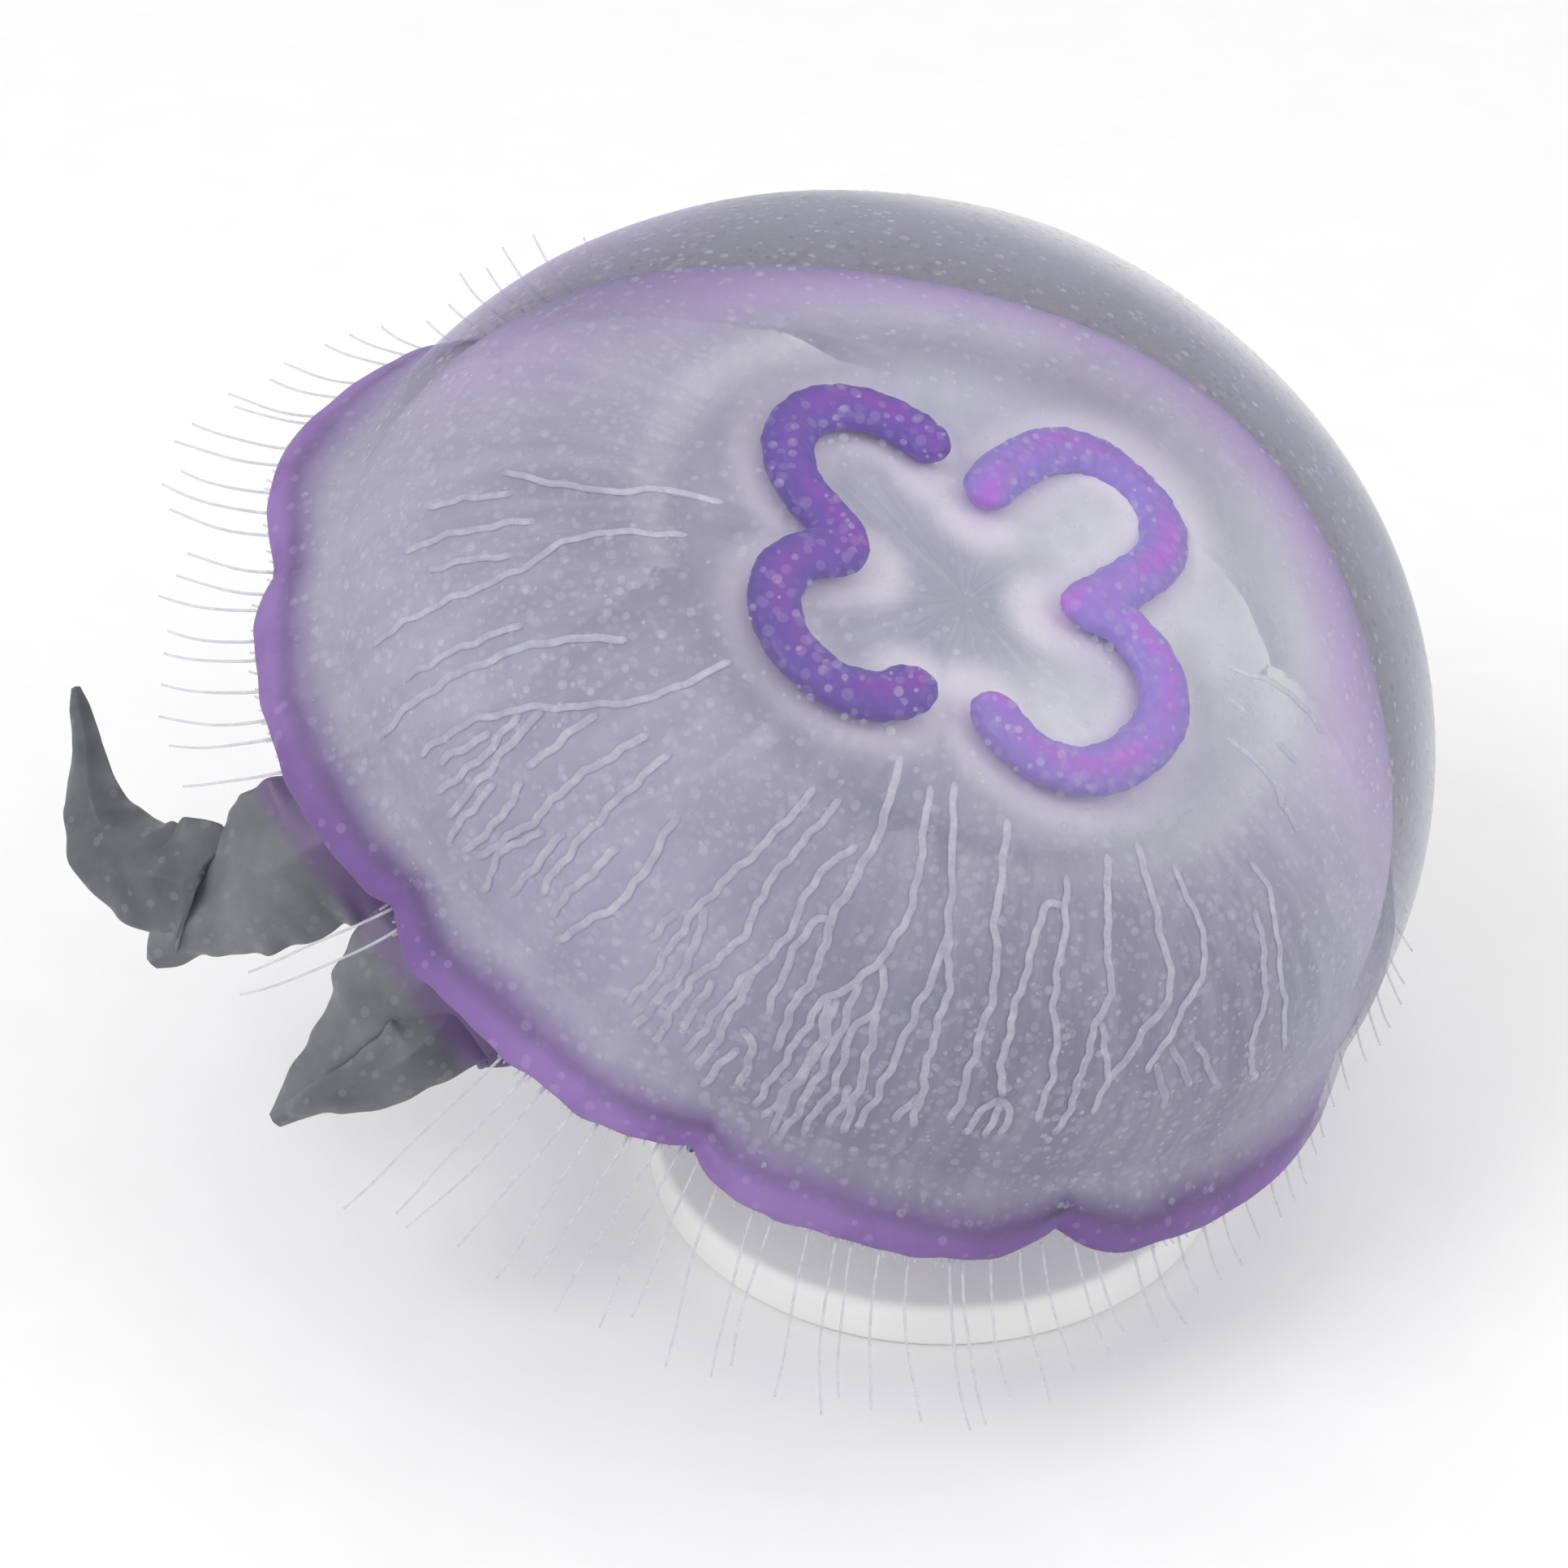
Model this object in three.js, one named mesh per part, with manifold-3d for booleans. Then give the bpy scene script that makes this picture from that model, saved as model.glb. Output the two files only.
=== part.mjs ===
// Moon jellyfish, Aurelia aurita: an adult, life size, banking on a display stand.
//
// Millimetres, +Z up. The origin is the centre of the stand base's underside.
// The animal is built in its own bell frame: the origin of that frame is the centre of the bell's
// margin, and its +Z is the axis through the crown. Round the axis, places are counted in margin
// lobes, 0 to 8, with a notch and its sense organ at each whole number.
import * as THREE from 'three';
import { mergeVertices } from 'three/addons/utils/BufferGeometryUtils.js';
import Module from 'manifold-3d';

const wasm = await Module();
wasm.setup();

// ---------------------------------------------------------------- driving dimensions
const LOBES = 8;                  // lobes of the margin, and sense organs between them
const CUT = 0.3;                  // gap between neighbouring pieces

// bell
const BELL_RADIUS = 125;
const BELL_HEIGHT = 116.5;
const DOME_POWER = 2.15;          // roundness of the dome: 2 is an ellipse, more is boxier
const HOLLOW_RADIUS = 120.4;      // the hollow under the bell
const HOLLOW_HEIGHT = 63.5;
const HOLLOW_POWER = 3;
const SKIN_LENGTH = 196;          // from the crown down to the margin
const SKIRT_FROM = 0.955;         // where the margin starts to flare, as a share of the way down
const SKIRT_FLARE = 0.07;
const FLARE_CHANGES = [           // where round the axis the flare is fuller or slacker, as a share of it
  { extra: -0.45, at: 6, spread: 14 },
  { extra: 0.25, at: 192, spread: 9 },
  { extra: 0.15, at: 228, spread: 10 },
];
const NOTCH_DEPTH = 0.063;
const NOTCH_SHARES = [0.3, 1, 1, 1, 0.5, 0.6, 1, 1];   // how deep each notch is, as a share of that
const EDGE_THICKNESS = 2;
const OVAL = 0.041;               // the bell leans out of round, as a live one does
const OVAL_TOWARDS = 36;
const THREE_SIDED = 0.013;
const THREE_SIDED_TOWARDS = -51;
const FIRST_NOTCH = 16.2;         // degrees round the axis
const CROWDING = 13;              // the lobes on one side are drawn together by the swimming stroke
const CROWDING_FROM = 77;
const CROWN_TO = 0.45;            // the crown ends and the sectors begin
const LOBES_FROM = 0.93;          // the sectors end and the margin lobes begin

// tentacles of the margin
const TENTACLES_PER_LOBE = 12;
const TENTACLE_ROOT = 1.05;       // radius
const TENTACLE_TIP = 0.42;
const TENTACLE_INSET = 2.4;       // how far the root is buried in the lobe
const SHORTEST_TENTACLE = 14;
const LONGER_TENTACLES = [        // extra length, where round the axis, and how far it spreads
  { extra: 28, at: 264, spread: 26 },
  { extra: 20, at: 305, spread: 22 },
  { extra: 14, at: 188, spread: 50 },
  { extra: 13, at: 35, spread: 30 },
];
const TRAILING_TENTACLES = [      // how much they trail behind the bell
  { extra: 1.1, at: 20, spread: 32 },
  { extra: 0.4, at: 177, spread: 18 },
];
const TENTACLE_VARIETY = 0.12;    // how much lengths and places differ
const TENTACLE_SWAY = 0.08;
const ROOT_DROOP = 0.45;          // the root leaves downwards and the tip lifts again
const TIP_DROOP = -0.12;
const DRIFT = new THREE.Vector3(0, 0.36, -0.35);   // water drags the tentacles back and down

// stomach, gonads and mouth
const STOMACH_DEPTH = 10.8;       // below the roof of the hollow
const STOMACH_WALL = 2.5;
const STOMACH_RADIUS = 76;
const STOMACH_LOBING = 4;
const GONAD_HALF_WIDTH = 5.5;
const GONAD_HALF_HEIGHT = 3.6;
const GONAD_HANG = 0.7;           // clear of the roof
const GONADS = [                  // place of each horseshoe, its radius and the arc it runs along
  { at: 161.6, out: 32.5, radius: 20.1, stretch: 0.3, from: 64, to: 252 },
  { at: 243.4, out: 35.6, radius: 18, stretch: -0.9, from: 138, to: 361 },
  { at: 347.6, out: 30.4, radius: 22.3, stretch: -3, from: -129, to: 75 },
  { at: 76.1, out: 40.3, radius: 23.3, stretch: 4.5, from: -27, to: 220 },
];
const MOUTH_RADIUS = 15.5;
const THROAT_RADIUS = 9.5;
const MOUTH_LENGTH = 12;

// oral arms: the middle line, its half width along the way, and the way the blade faces at its end
const ARM_THICKNESS = 1.5;
const ARM_FOLD = 0.42;            // how far the blades slope back from the ridge
const LIP_WAVE = 0.06;
const LIP_WAVES = 26;
const ARM_LENGTHS = ['base', 'middle', 'tip'];
const ORAL_ARMS = [
  {
    spine: [[-20, -9, 42], [-37, -34, 12], [-80, -84, -37], [-93, -91, -56],
      [-106, -90, -72], [-126, -79, -76], [-138, -69, -73], [-149, -57, -69]],
    widths: [8, 14, 18.5, 18, 14.5, 9.5, 4, 1.5],
    faces: [0, -0.72, 0.69],
  },
  {
    spine: [[9, -20, 42], [-5, -50, 16], [-43.5, -104, -31], [-48, -114, -52], [-53.5, -122, -74]],
    widths: [8, 14, 19, 11.5, 1.8],
    faces: [0, -0.72, 0.69],
  },
  {
    spine: [[20, 9, 42], [19, 36, 8], [13, 46, -30], [7, 45, -58], [2, 36, -82]],
    widths: [8, 14, 17, 12, 1.6],
    faces: [0.5, 0.8, 0.2],
  },
  {
    spine: [[-9, 20, 42], [-24, 42, 10], [-46, 56, -30], [-62, 52, -60], [-74, 40, -86]],
    widths: [8, 14, 17, 12, 1.6],
    faces: [-0.4, 0.9, 0.1],
  },
];

// sense organs
const RHOPALIUM_RADIUS = 1;
const RHOPALIUM_LENGTH = 3.6;
const RHOPALIUM_OUT = 2.6;        // from the bottom of its notch

// pose of the animal and its stand
const TILT = 28.5;
const HEADING = -29;
const SPIN = 6;
const MARGIN_HEIGHT = 108;        // centre of the margin above the floor
const BASE_RADIUS = 67;
const BASE_THICKNESS = 12;
const BASE_BEVEL = 2.5;
const ROD_RADIUS = 3;
const PAD_RADIUS = 6.5;
const PAD_THICKNESS = 3;

// ---------------------------------------------------------------- materials
const finish = (color, roughness) => new THREE.MeshStandardMaterial({ color, roughness, metalness: 0 });
const GEL = () => finish(0xa5a0b6, 0.25);
const MARGIN = () => finish(0x9673b4, 0.3);
const GONAD_LEFT = () => finish(0x735aaa, 0.4);
const GONAD_RIGHT = () => finish(0x9682c8, 0.4);
const MEMBRANE = () => finish(0xbcc2c8, 0.35);
const ARM = () => finish(0x6e7376, 0.45);
const SENSE = () => finish(0x5a4a6a, 0.5);
const STAND_WHITE = () => finish(0xf0f0ee, 0.4);
const STAND_STEEL = () => finish(0xc8ccd0, 0.3);

// ---------------------------------------------------------------- small helpers
const rad = THREE.MathUtils.degToRad;
const smooth = THREE.MathUtils.smoothstep;
const lerp = THREE.MathUtils.lerp;
const clamp = THREE.MathUtils.clamp;

// A repeatable number between -1 and 1 for each whole number.
function jitter(n) {
  const wave = Math.sin(n * 127.1 + 311.7) * 43758.5453;
  return 2 * (wave - Math.floor(wave)) - 1;
}

// Straight-line reading of a list of values at u, from 0 to 1.
function readAlong(values, u) {
  const place = clamp(u, 0, 1) * (values.length - 1);
  const i = Math.min(Math.floor(place), values.length - 2);
  return lerp(values[i], values[i + 1], place - i);
}

// ---------------------------------------------------------------- solids from points
function solid(points, faces) {
  const geometry = new THREE.BufferGeometry().setFromPoints(points);
  let volume = 0;
  for (const [a, b, c] of faces) volume += points[a].dot(points[b].clone().cross(points[c]));
  const outward = volume > 0 ? faces : faces.map(([a, b, c]) => [a, c, b]);
  geometry.setIndex(outward.flat());
  return geometry;
}

function quad(a, b, c, d) {
  return [[a, b, c], [a, c, d]];
}

// A sheet with thickness: two surfaces over the same grid, walled round the border.
function slab(columns, rows, top, bottom) {
  const points = [];
  const faces = [];
  const stride = columns + 1;
  const under = stride * (rows + 1);
  for (const surface of [top, bottom]) {
    for (let j = 0; j <= rows; j++) {
      for (let i = 0; i <= columns; i++) points.push(surface(i / columns, j / rows));
    }
  }
  const at = (i, j) => j * stride + i;
  for (let j = 0; j < rows; j++) {
    for (let i = 0; i < columns; i++) {
      faces.push(...quad(at(i, j), at(i + 1, j), at(i + 1, j + 1), at(i, j + 1)));
      faces.push(...quad(under + at(i, j + 1), under + at(i + 1, j + 1),
        under + at(i + 1, j), under + at(i, j)));
    }
  }
  const wall = (a, b) => faces.push(...quad(b, a, under + a, under + b));
  for (let i = 0; i < columns; i++) {
    wall(at(i, 0), at(i + 1, 0));
    wall(at(i + 1, rows), at(i, rows));
  }
  for (let j = 0; j < rows; j++) {
    wall(at(columns, j), at(columns, j + 1));
    wall(at(0, j + 1), at(0, j));
  }
  return solid(points, faces);
}

// Rings of equal count, one after another, closed with a point at each end.
function closedRings(rings, first, last) {
  const sides = rings[0].length;
  const points = [first, ...rings.flat(), last];
  const faces = [];
  const end = points.length - 1;
  const at = (r, i) => 1 + r * sides + (i % sides);
  for (let i = 0; i < sides; i++) {
    faces.push([0, at(0, i + 1), at(0, i)]);
    faces.push([end, at(rings.length - 1, i), at(rings.length - 1, i + 1)]);
    for (let r = 0; r < rings.length - 1; r++) {
      faces.push(...quad(at(r, i), at(r, i + 1), at(r + 1, i + 1), at(r + 1, i)));
    }
  }
  return solid(points, faces);
}

// A tapering tube through a row of stations: { point, along, side, halfWidth, halfHeight }.
function tube(stations, sides) {
  const rings = stations.map(({ point, along, side, halfWidth, halfHeight }) => {
    const across = side.clone().addScaledVector(along, -side.dot(along)).normalize();
    const up = new THREE.Vector3().crossVectors(along, across);
    return Array.from({ length: sides }, (_, i) => {
      const turn = 2 * Math.PI * (i + 0.5) / sides;
      return point.clone().addScaledVector(across, halfWidth * Math.cos(turn))
        .addScaledVector(up, halfHeight * Math.sin(turn));
    });
  });
  return closedRings(rings, stations[0].point, stations.at(-1).point);
}

// ---------------------------------------------------------------- joining with manifold
function toManifold(geometry) {
  const bare = geometry.clone();
  bare.deleteAttribute('normal');
  bare.deleteAttribute('uv');
  const merged = mergeVertices(bare, 1e-4);
  return new wasm.Manifold(new wasm.Mesh({
    numProp: 3,
    vertProperties: new Float32Array(merged.attributes.position.array),
    triVerts: new Uint32Array(merged.index.array),
  }));
}

function fromManifold(manifold) {
  const mesh = manifold.getMesh();
  const geometry = new THREE.BufferGeometry();
  geometry.setAttribute('position', new THREE.BufferAttribute(mesh.vertProperties, 3));
  geometry.setIndex(new THREE.BufferAttribute(mesh.triVerts, 1));
  return geometry;
}

function joined(geometries) {
  return fromManifold(geometries.map(toManifold).reduce((whole, piece) => whole.add(piece)));
}

// ---------------------------------------------------------------- the bell's own shape
// Direction round the axis, in radians, of a place counted in lobes.
function roundAxis(place) {
  const even = FIRST_NOTCH + 360 / LOBES * place;
  return rad(even + CROWDING * Math.sin(rad(even - CROWDING_FROM)));
}

// How deep the margin is notched: 0 along the middle of a lobe, most in the notches at its ends.
function notchAt(place) {
  const across = place - Math.floor(place);
  const notch = THREE.MathUtils.euclideanModulo(Math.round(place), LOBES);
  return NOTCH_SHARES[notch] * Math.abs(2 * across - 1) ** 4;
}

// The sum of a list of soft bumps round the axis.
function bumps(list, turn) {
  let sum = 0;
  for (const { extra, at, spread } of list) {
    const away = THREE.MathUtils.euclideanModulo(turn - rad(at) + Math.PI, 2 * Math.PI) - Math.PI;
    sum += extra * Math.exp(-((away / rad(spread)) ** 2));
  }
  return sum;
}

function outOfRound(turn) {
  return OVAL * Math.cos(2 * (turn - rad(OVAL_TOWARDS)))
    + THREE_SIDED * Math.cos(3 * (turn - rad(THREE_SIDED_TOWARDS)));
}

// A point of a dome: t runs from 0 at the pole to 1 at the margin.
function domePoint(t, place, radius, height, power) {
  const turn = roundAxis(place);
  const down = t * Math.PI / 2;
  const skirt = smooth(t, SKIRT_FROM, 1);
  const fullness = 1 + bumps(FLARE_CHANGES, turn);
  const flare = 1 + SKIRT_FLARE * skirt * fullness - NOTCH_DEPTH * skirt * notchAt(place);
  const out = radius(skirt) * Math.sin(down) ** (2 / power) * flare * (1 + t * outOfRound(turn));
  const up = height * Math.max(Math.cos(down), 0) ** (2 / power);
  return new THREE.Vector3(out * Math.cos(turn), out * Math.sin(turn), up);
}

function outerSkin(t, place) {
  return domePoint(t, place, () => BELL_RADIUS, BELL_HEIGHT, DOME_POWER);
}

function hollowSkin(t, place) {
  const radius = (skirt) => lerp(HOLLOW_RADIUS, BELL_RADIUS - EDGE_THICKNESS, skirt);
  return domePoint(t, place, radius, HOLLOW_HEIGHT, HOLLOW_POWER);
}

// Height of the roof of the hollow at a distance from the axis.
function roofHeight(out) {
  const share = Math.min(out / HOLLOW_RADIUS, 1);
  return HOLLOW_HEIGHT * (1 - share ** HOLLOW_POWER) ** (1 / HOLLOW_POWER);
}

// ---------------------------------------------------------------- nodes
const animal = new THREE.Group();
const stand = new THREE.Group();

function put(group, name, geometry, material) {
  const mesh = new THREE.Mesh(geometry, material);
  mesh.name = name;
  group.add(mesh);
  return mesh;
}

// ---------------------------------------------------------------- bell: crown, sectors, lobes
const ALONG_GAP = CUT / 2 / SKIN_LENGTH;
const roundGap = (out) => CUT / 2 / out * LOBES / (2 * Math.PI);   // half a cut, in lobes

function crown() {
  const perLobe = 6;
  const ring = (surface, t) => Array.from({ length: LOBES * perLobe }, (_, i) => surface(t, i / perLobe));
  const reach = CROWN_TO - ALONG_GAP;
  const rings = [];
  for (const share of [0.3, 0.56, 0.79, 1]) rings.push(ring(outerSkin, reach * share));
  for (const share of [1, 0.8, 0.58, 0.32]) rings.push(ring(hollowSkin, reach * share));
  return closedRings(rings, outerSkin(0, 0), hollowSkin(0, 0));
}

function sector(lobe) {
  const trim = roundGap(0.84 * BELL_RADIUS);
  const place = (u) => lerp(lobe + trim, lobe + 1 - trim, u);
  const t = (v) => lerp(CROWN_TO + ALONG_GAP, LOBES_FROM - ALONG_GAP, v);
  return slab(6, 4, (u, v) => outerSkin(t(v), place(u)), (u, v) => hollowSkin(t(v), place(u)));
}

function tentacle(place, number) {
  const turn = roundAxis(place);
  const out = new THREE.Vector3(Math.cos(turn), Math.sin(turn), 0);
  const side = new THREE.Vector3(-out.y, out.x, 0);
  const behind = bumps(TRAILING_TENTACLES, turn);
  const heading = (droop) => out.clone().add(DRIFT).addScaledVector(side, TENTACLE_SWAY * jitter(number))
    .add(new THREE.Vector3(0, 0, -behind - droop)).normalize();
  const start = heading(ROOT_DROOP);
  const end = heading(TIP_DROOP);
  const variety = 1 + TENTACLE_VARIETY * jitter(number + 500);
  const length = variety * (SHORTEST_TENTACLE + bumps(LONGER_TENTACLES, turn));
  const edge = outerSkin(1, place).lerp(hollowSkin(1, place), 0.5);
  const root = edge.clone().addScaledVector(out, -TENTACLE_INSET);
  root.z += 0.6;
  const reach = length + TENTACLE_INSET;
  const steps = length > 26 ? 4 : 3;
  const stations = Array.from({ length: steps + 1 }, (_, i) => {
    const s = i / steps;
    const along = start.clone().lerp(end, s).normalize();
    const point = root.clone().addScaledVector(start, reach * (s - s * s / 2))
      .addScaledVector(end, reach * s * s / 2);
    const radius = lerp(TENTACLE_ROOT, TENTACLE_TIP, s);
    return { point, along, side, halfWidth: radius, halfHeight: radius };
  });
  return tube(stations, 3);
}

function marginLobe(lobe) {
  const trim = roundGap(BELL_RADIUS);
  const place = (u) => lerp(lobe + trim, lobe + 1 - trim, u);
  const t = (v) => lerp(LOBES_FROM + ALONG_GAP, 1, v);
  const flap = slab(6, 3, (u, v) => outerSkin(t(v), place(u)), (u, v) => hollowSkin(t(v), place(u)));
  const fringe = Array.from({ length: TENTACLES_PER_LOBE }, (_, i) => {
    const number = lobe * TENTACLES_PER_LOBE + i;
    return tentacle(lobe + (i + 0.5 + TENTACLE_VARIETY * jitter(number + 900)) / TENTACLES_PER_LOBE, number);
  });
  return joined([flap, ...fringe]);
}

put(animal, 'bell_crown', crown(), GEL());
for (let lobe = 0; lobe < LOBES; lobe++) {
  put(animal, `bell_sector_${lobe + 1}`, sector(lobe), GEL());
  put(animal, `margin_lobe_${lobe + 1}`, marginLobe(lobe), MARGIN());
}

// ---------------------------------------------------------------- stomach and gonads
const stomachRim = (turn) => STOMACH_RADIUS + STOMACH_LOBING * Math.cos(4 * (turn - rad(70)));

// The stomach floor hangs under the roof like a dish and turns up to meet it at the rim.
function stomachFloor() {
  const sides = 24;
  const shares = [0.4, 0.75, 0.86, 1];
  const height = (out, share, wall) => {
    const hanging = roofHeight(out) - STOMACH_DEPTH - wall;
    const rim = roofHeight(out) - 2 * CUT - wall * 0.5;
    return lerp(hanging, rim, smooth(share, 0.86, 1));
  };
  const ring = (share, wall) => Array.from({ length: sides }, (_, i) => {
    const turn = 2 * Math.PI * i / sides;
    const out = stomachRim(turn) * share;
    return new THREE.Vector3(out * Math.cos(turn), out * Math.sin(turn), height(out, share, wall));
  });
  const rings = [...shares.map((share) => ring(share, 0)),
    ...shares.toReversed().map((share) => ring(share, STOMACH_WALL))];
  const pole = (wall) => new THREE.Vector3(0, 0, height(0, 0, wall));
  return closedRings(rings, pole(0), pole(STOMACH_WALL));
}

// A horseshoe of reproductive tissue, open towards the axis, thinning at its two ends.
function gonad({ at, out, radius, stretch, from, to }) {
  const steps = 13;
  const centre = new THREE.Vector3(out * Math.cos(rad(at)), out * Math.sin(rad(at)), 0);
  const point = (s) => {
    const turn = rad(lerp(from, to, s));
    const reach = radius + stretch * Math.cos(2 * (turn - rad(at)));
    const spot = centre.clone().add(new THREE.Vector3(reach * Math.cos(turn), reach * Math.sin(turn), 0));
    const outside = Math.hypot(spot.x, spot.y) + GONAD_HALF_WIDTH;
    spot.z = roofHeight(outside) - GONAD_HANG - GONAD_HALF_HEIGHT;
    return spot;
  };
  const stations = Array.from({ length: steps }, (_, i) => {
    const s = i / (steps - 1);
    const along = point(Math.min(s + 0.01, 1)).sub(point(Math.max(s - 0.01, 0))).normalize();
    const side = point(s).sub(centre).setZ(0).normalize();
    const fullness = 0.45 + 0.55 * Math.min(1, 7 * Math.min(s, 1 - s));
    return {
      point: point(s), along, side,
      halfWidth: GONAD_HALF_WIDTH * fullness, halfHeight: GONAD_HALF_HEIGHT * fullness,
    };
  });
  return tube(stations, 6);
}

// The short mouth tube: a ring, drawn out a little towards the four arms.
function mouth() {
  const top = roofHeight(MOUTH_RADIUS) - STOMACH_DEPTH - STOMACH_WALL - 2 * CUT;
  const bottom = top - MOUTH_LENGTH;
  const profile = [
    [THROAT_RADIUS, top], [THROAT_RADIUS + 1.5, bottom], [MOUTH_RADIUS - 2, bottom],
    [MOUTH_RADIUS - 1, (top + bottom) / 2], [MOUTH_RADIUS, top], [THROAT_RADIUS, top],
  ].map(([out, up]) => new THREE.Vector2(out, up));
  const geometry = new THREE.LatheGeometry(profile, 18);
  geometry.rotateX(Math.PI / 2);
  return geometry;
}

put(animal, 'stomach_floor', stomachFloor(), MEMBRANE());
GONADS.forEach((horseshoe, i) => {
  put(animal, `gonad_${i + 1}`, gonad(horseshoe), i < 2 ? GONAD_LEFT() : GONAD_RIGHT());
});
put(animal, 'mouth_tube', mouth(), ARM());

// ---------------------------------------------------------------- oral arms
// Each arm is a long folded leaf: two blades that slope back from a middle ridge, with wavy lips.
function armLength({ spine, widths, faces }, from, to) {
  const line = new THREE.CatmullRomCurve3(spine.map((p) => new THREE.Vector3(...p)), false, 'centripetal');
  const total = line.getLength();
  const trim = CUT / 2 / total;
  const start = from > 0 ? from + trim : from;
  const end = to < 1 ? to - trim : to;
  const firstFace = new THREE.Vector3(spine[0][0], spine[0][1], 12).normalize();
  const lastFace = new THREE.Vector3(...faces).normalize();
  const blade = (u, v, lift) => {
    const s = lerp(start, end, v);
    const along = line.getTangentAt(s);
    const face = firstFace.clone().lerp(lastFace, smooth(s, 0, 0.45));
    face.addScaledVector(along, -face.dot(along)).normalize();
    const across = new THREE.Vector3().crossVectors(along, face);
    const reach = 2 * u - 1;
    const wave = 1 + LIP_WAVE * Math.sin(LIP_WAVES * s + 2 * Math.sign(reach));
    const half = readAlong(widths, line.getUtoTmapping(s)) * wave;
    const slope = ARM_FOLD * half * Math.abs(reach);
    return line.getPointAt(s).addScaledVector(across, reach * half).addScaledVector(face, lift - slope);
  };
  return slab(2, 8, (u, v) => blade(u, v, ARM_THICKNESS / 2), (u, v) => blade(u, v, -ARM_THICKNESS / 2));
}

ORAL_ARMS.forEach((arm, i) => {
  ARM_LENGTHS.forEach((part, j) => {
    const from = j / ARM_LENGTHS.length;
    const to = (j + 1) / ARM_LENGTHS.length;
    put(animal, `oral_arm_${i + 1}_${part}`, armLength(arm, from, to), ARM());
  });
});

// ---------------------------------------------------------------- sense organs
for (let notch = 0; notch < LOBES; notch++) {
  const turn = roundAxis(notch);
  const geometry = new THREE.OctahedronGeometry(1, 1);
  geometry.scale(RHOPALIUM_RADIUS, RHOPALIUM_RADIUS, RHOPALIUM_LENGTH / 2);
  const mesh = put(animal, `rhopalium_${notch + 1}`, geometry, SENSE());
  mesh.position.copy(outerSkin(1, notch));
  mesh.position.x += RHOPALIUM_OUT * Math.cos(turn);
  mesh.position.y += RHOPALIUM_OUT * Math.sin(turn);
  mesh.position.z -= 0.4;
}

// ---------------------------------------------------------------- pose, and the stand
// The bell leans, and the pad under its stomach stands over the middle of the base.
const lean = new THREE.Matrix4().makeRotationZ(rad(HEADING))
  .multiply(new THREE.Matrix4().makeRotationY(rad(TILT)))
  .multiply(new THREE.Matrix4().makeRotationZ(rad(SPIN)));
const padTop = roofHeight(0) - STOMACH_DEPTH - STOMACH_WALL - CUT;
const padUnder = new THREE.Vector3(0, 0, padTop - PAD_THICKNESS).applyMatrix4(lean);
animal.setRotationFromMatrix(lean);
animal.position.set(-padUnder.x, -padUnder.y, MARGIN_HEIGHT);

function standBase() {
  const profile = [
    [0, 0], [BASE_RADIUS, 0], [BASE_RADIUS, BASE_THICKNESS - BASE_BEVEL],
    [BASE_RADIUS - BASE_BEVEL, BASE_THICKNESS], [0, BASE_THICKNESS],
  ].map(([out, up]) => new THREE.Vector2(out, up));
  const geometry = new THREE.LatheGeometry(profile, 40);
  geometry.rotateX(Math.PI / 2);
  return geometry;
}

const rodBottom = BASE_THICKNESS + CUT;
const rodTop = MARGIN_HEIGHT + padUnder.z - ROD_RADIUS * Math.tan(rad(TILT)) - CUT;
const rod = new THREE.CylinderGeometry(ROD_RADIUS, ROD_RADIUS, rodTop - rodBottom, 14);
rod.rotateX(Math.PI / 2);
const pad = new THREE.CylinderGeometry(PAD_RADIUS, PAD_RADIUS, PAD_THICKNESS, 18);
pad.rotateX(Math.PI / 2);

put(stand, 'stand_base', standBase(), STAND_WHITE());
put(stand, 'stand_rod', rod, STAND_STEEL()).position.z = (rodBottom + rodTop) / 2;
put(animal, 'stand_pad', pad, STAND_STEEL()).position.z = padTop - PAD_THICKNESS / 2;

const group = new THREE.Group();
group.add(animal, stand);
export default group;
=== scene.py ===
# %% [markdown]
# # A moon jellyfish on its display stand
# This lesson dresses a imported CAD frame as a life-size model of a moon jellyfish, Aurelia aurita.
# The frame holds the sizes and the solids. Here each solid is given the look of living jelly: a clear
# gel dome, a milky under-bell, four purple horseshoes of reproductive tissue, and a fringe of hairs.
# Everything is in metres, and nothing in the frame is moved.

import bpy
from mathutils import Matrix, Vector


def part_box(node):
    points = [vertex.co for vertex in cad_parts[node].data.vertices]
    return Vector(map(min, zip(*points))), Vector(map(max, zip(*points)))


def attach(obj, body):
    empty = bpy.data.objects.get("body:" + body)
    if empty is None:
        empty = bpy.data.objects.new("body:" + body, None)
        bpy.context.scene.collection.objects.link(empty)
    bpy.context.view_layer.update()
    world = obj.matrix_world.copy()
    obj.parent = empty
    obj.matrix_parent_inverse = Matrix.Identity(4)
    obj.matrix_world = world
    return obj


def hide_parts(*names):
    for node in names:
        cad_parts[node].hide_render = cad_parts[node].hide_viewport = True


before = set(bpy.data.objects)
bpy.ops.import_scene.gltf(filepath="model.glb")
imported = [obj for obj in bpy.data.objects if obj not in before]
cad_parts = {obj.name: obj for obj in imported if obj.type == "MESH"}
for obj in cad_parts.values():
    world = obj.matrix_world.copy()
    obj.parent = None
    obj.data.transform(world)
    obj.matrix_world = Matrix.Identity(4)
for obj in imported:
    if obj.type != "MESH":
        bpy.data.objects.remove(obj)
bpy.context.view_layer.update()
print("frame loaded:", len(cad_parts), "solids")

# %% Tools
import math
import random

import bmesh
import bpy
import numpy as np
from mathutils import Matrix, Vector, noise

MM = 0.001

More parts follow.
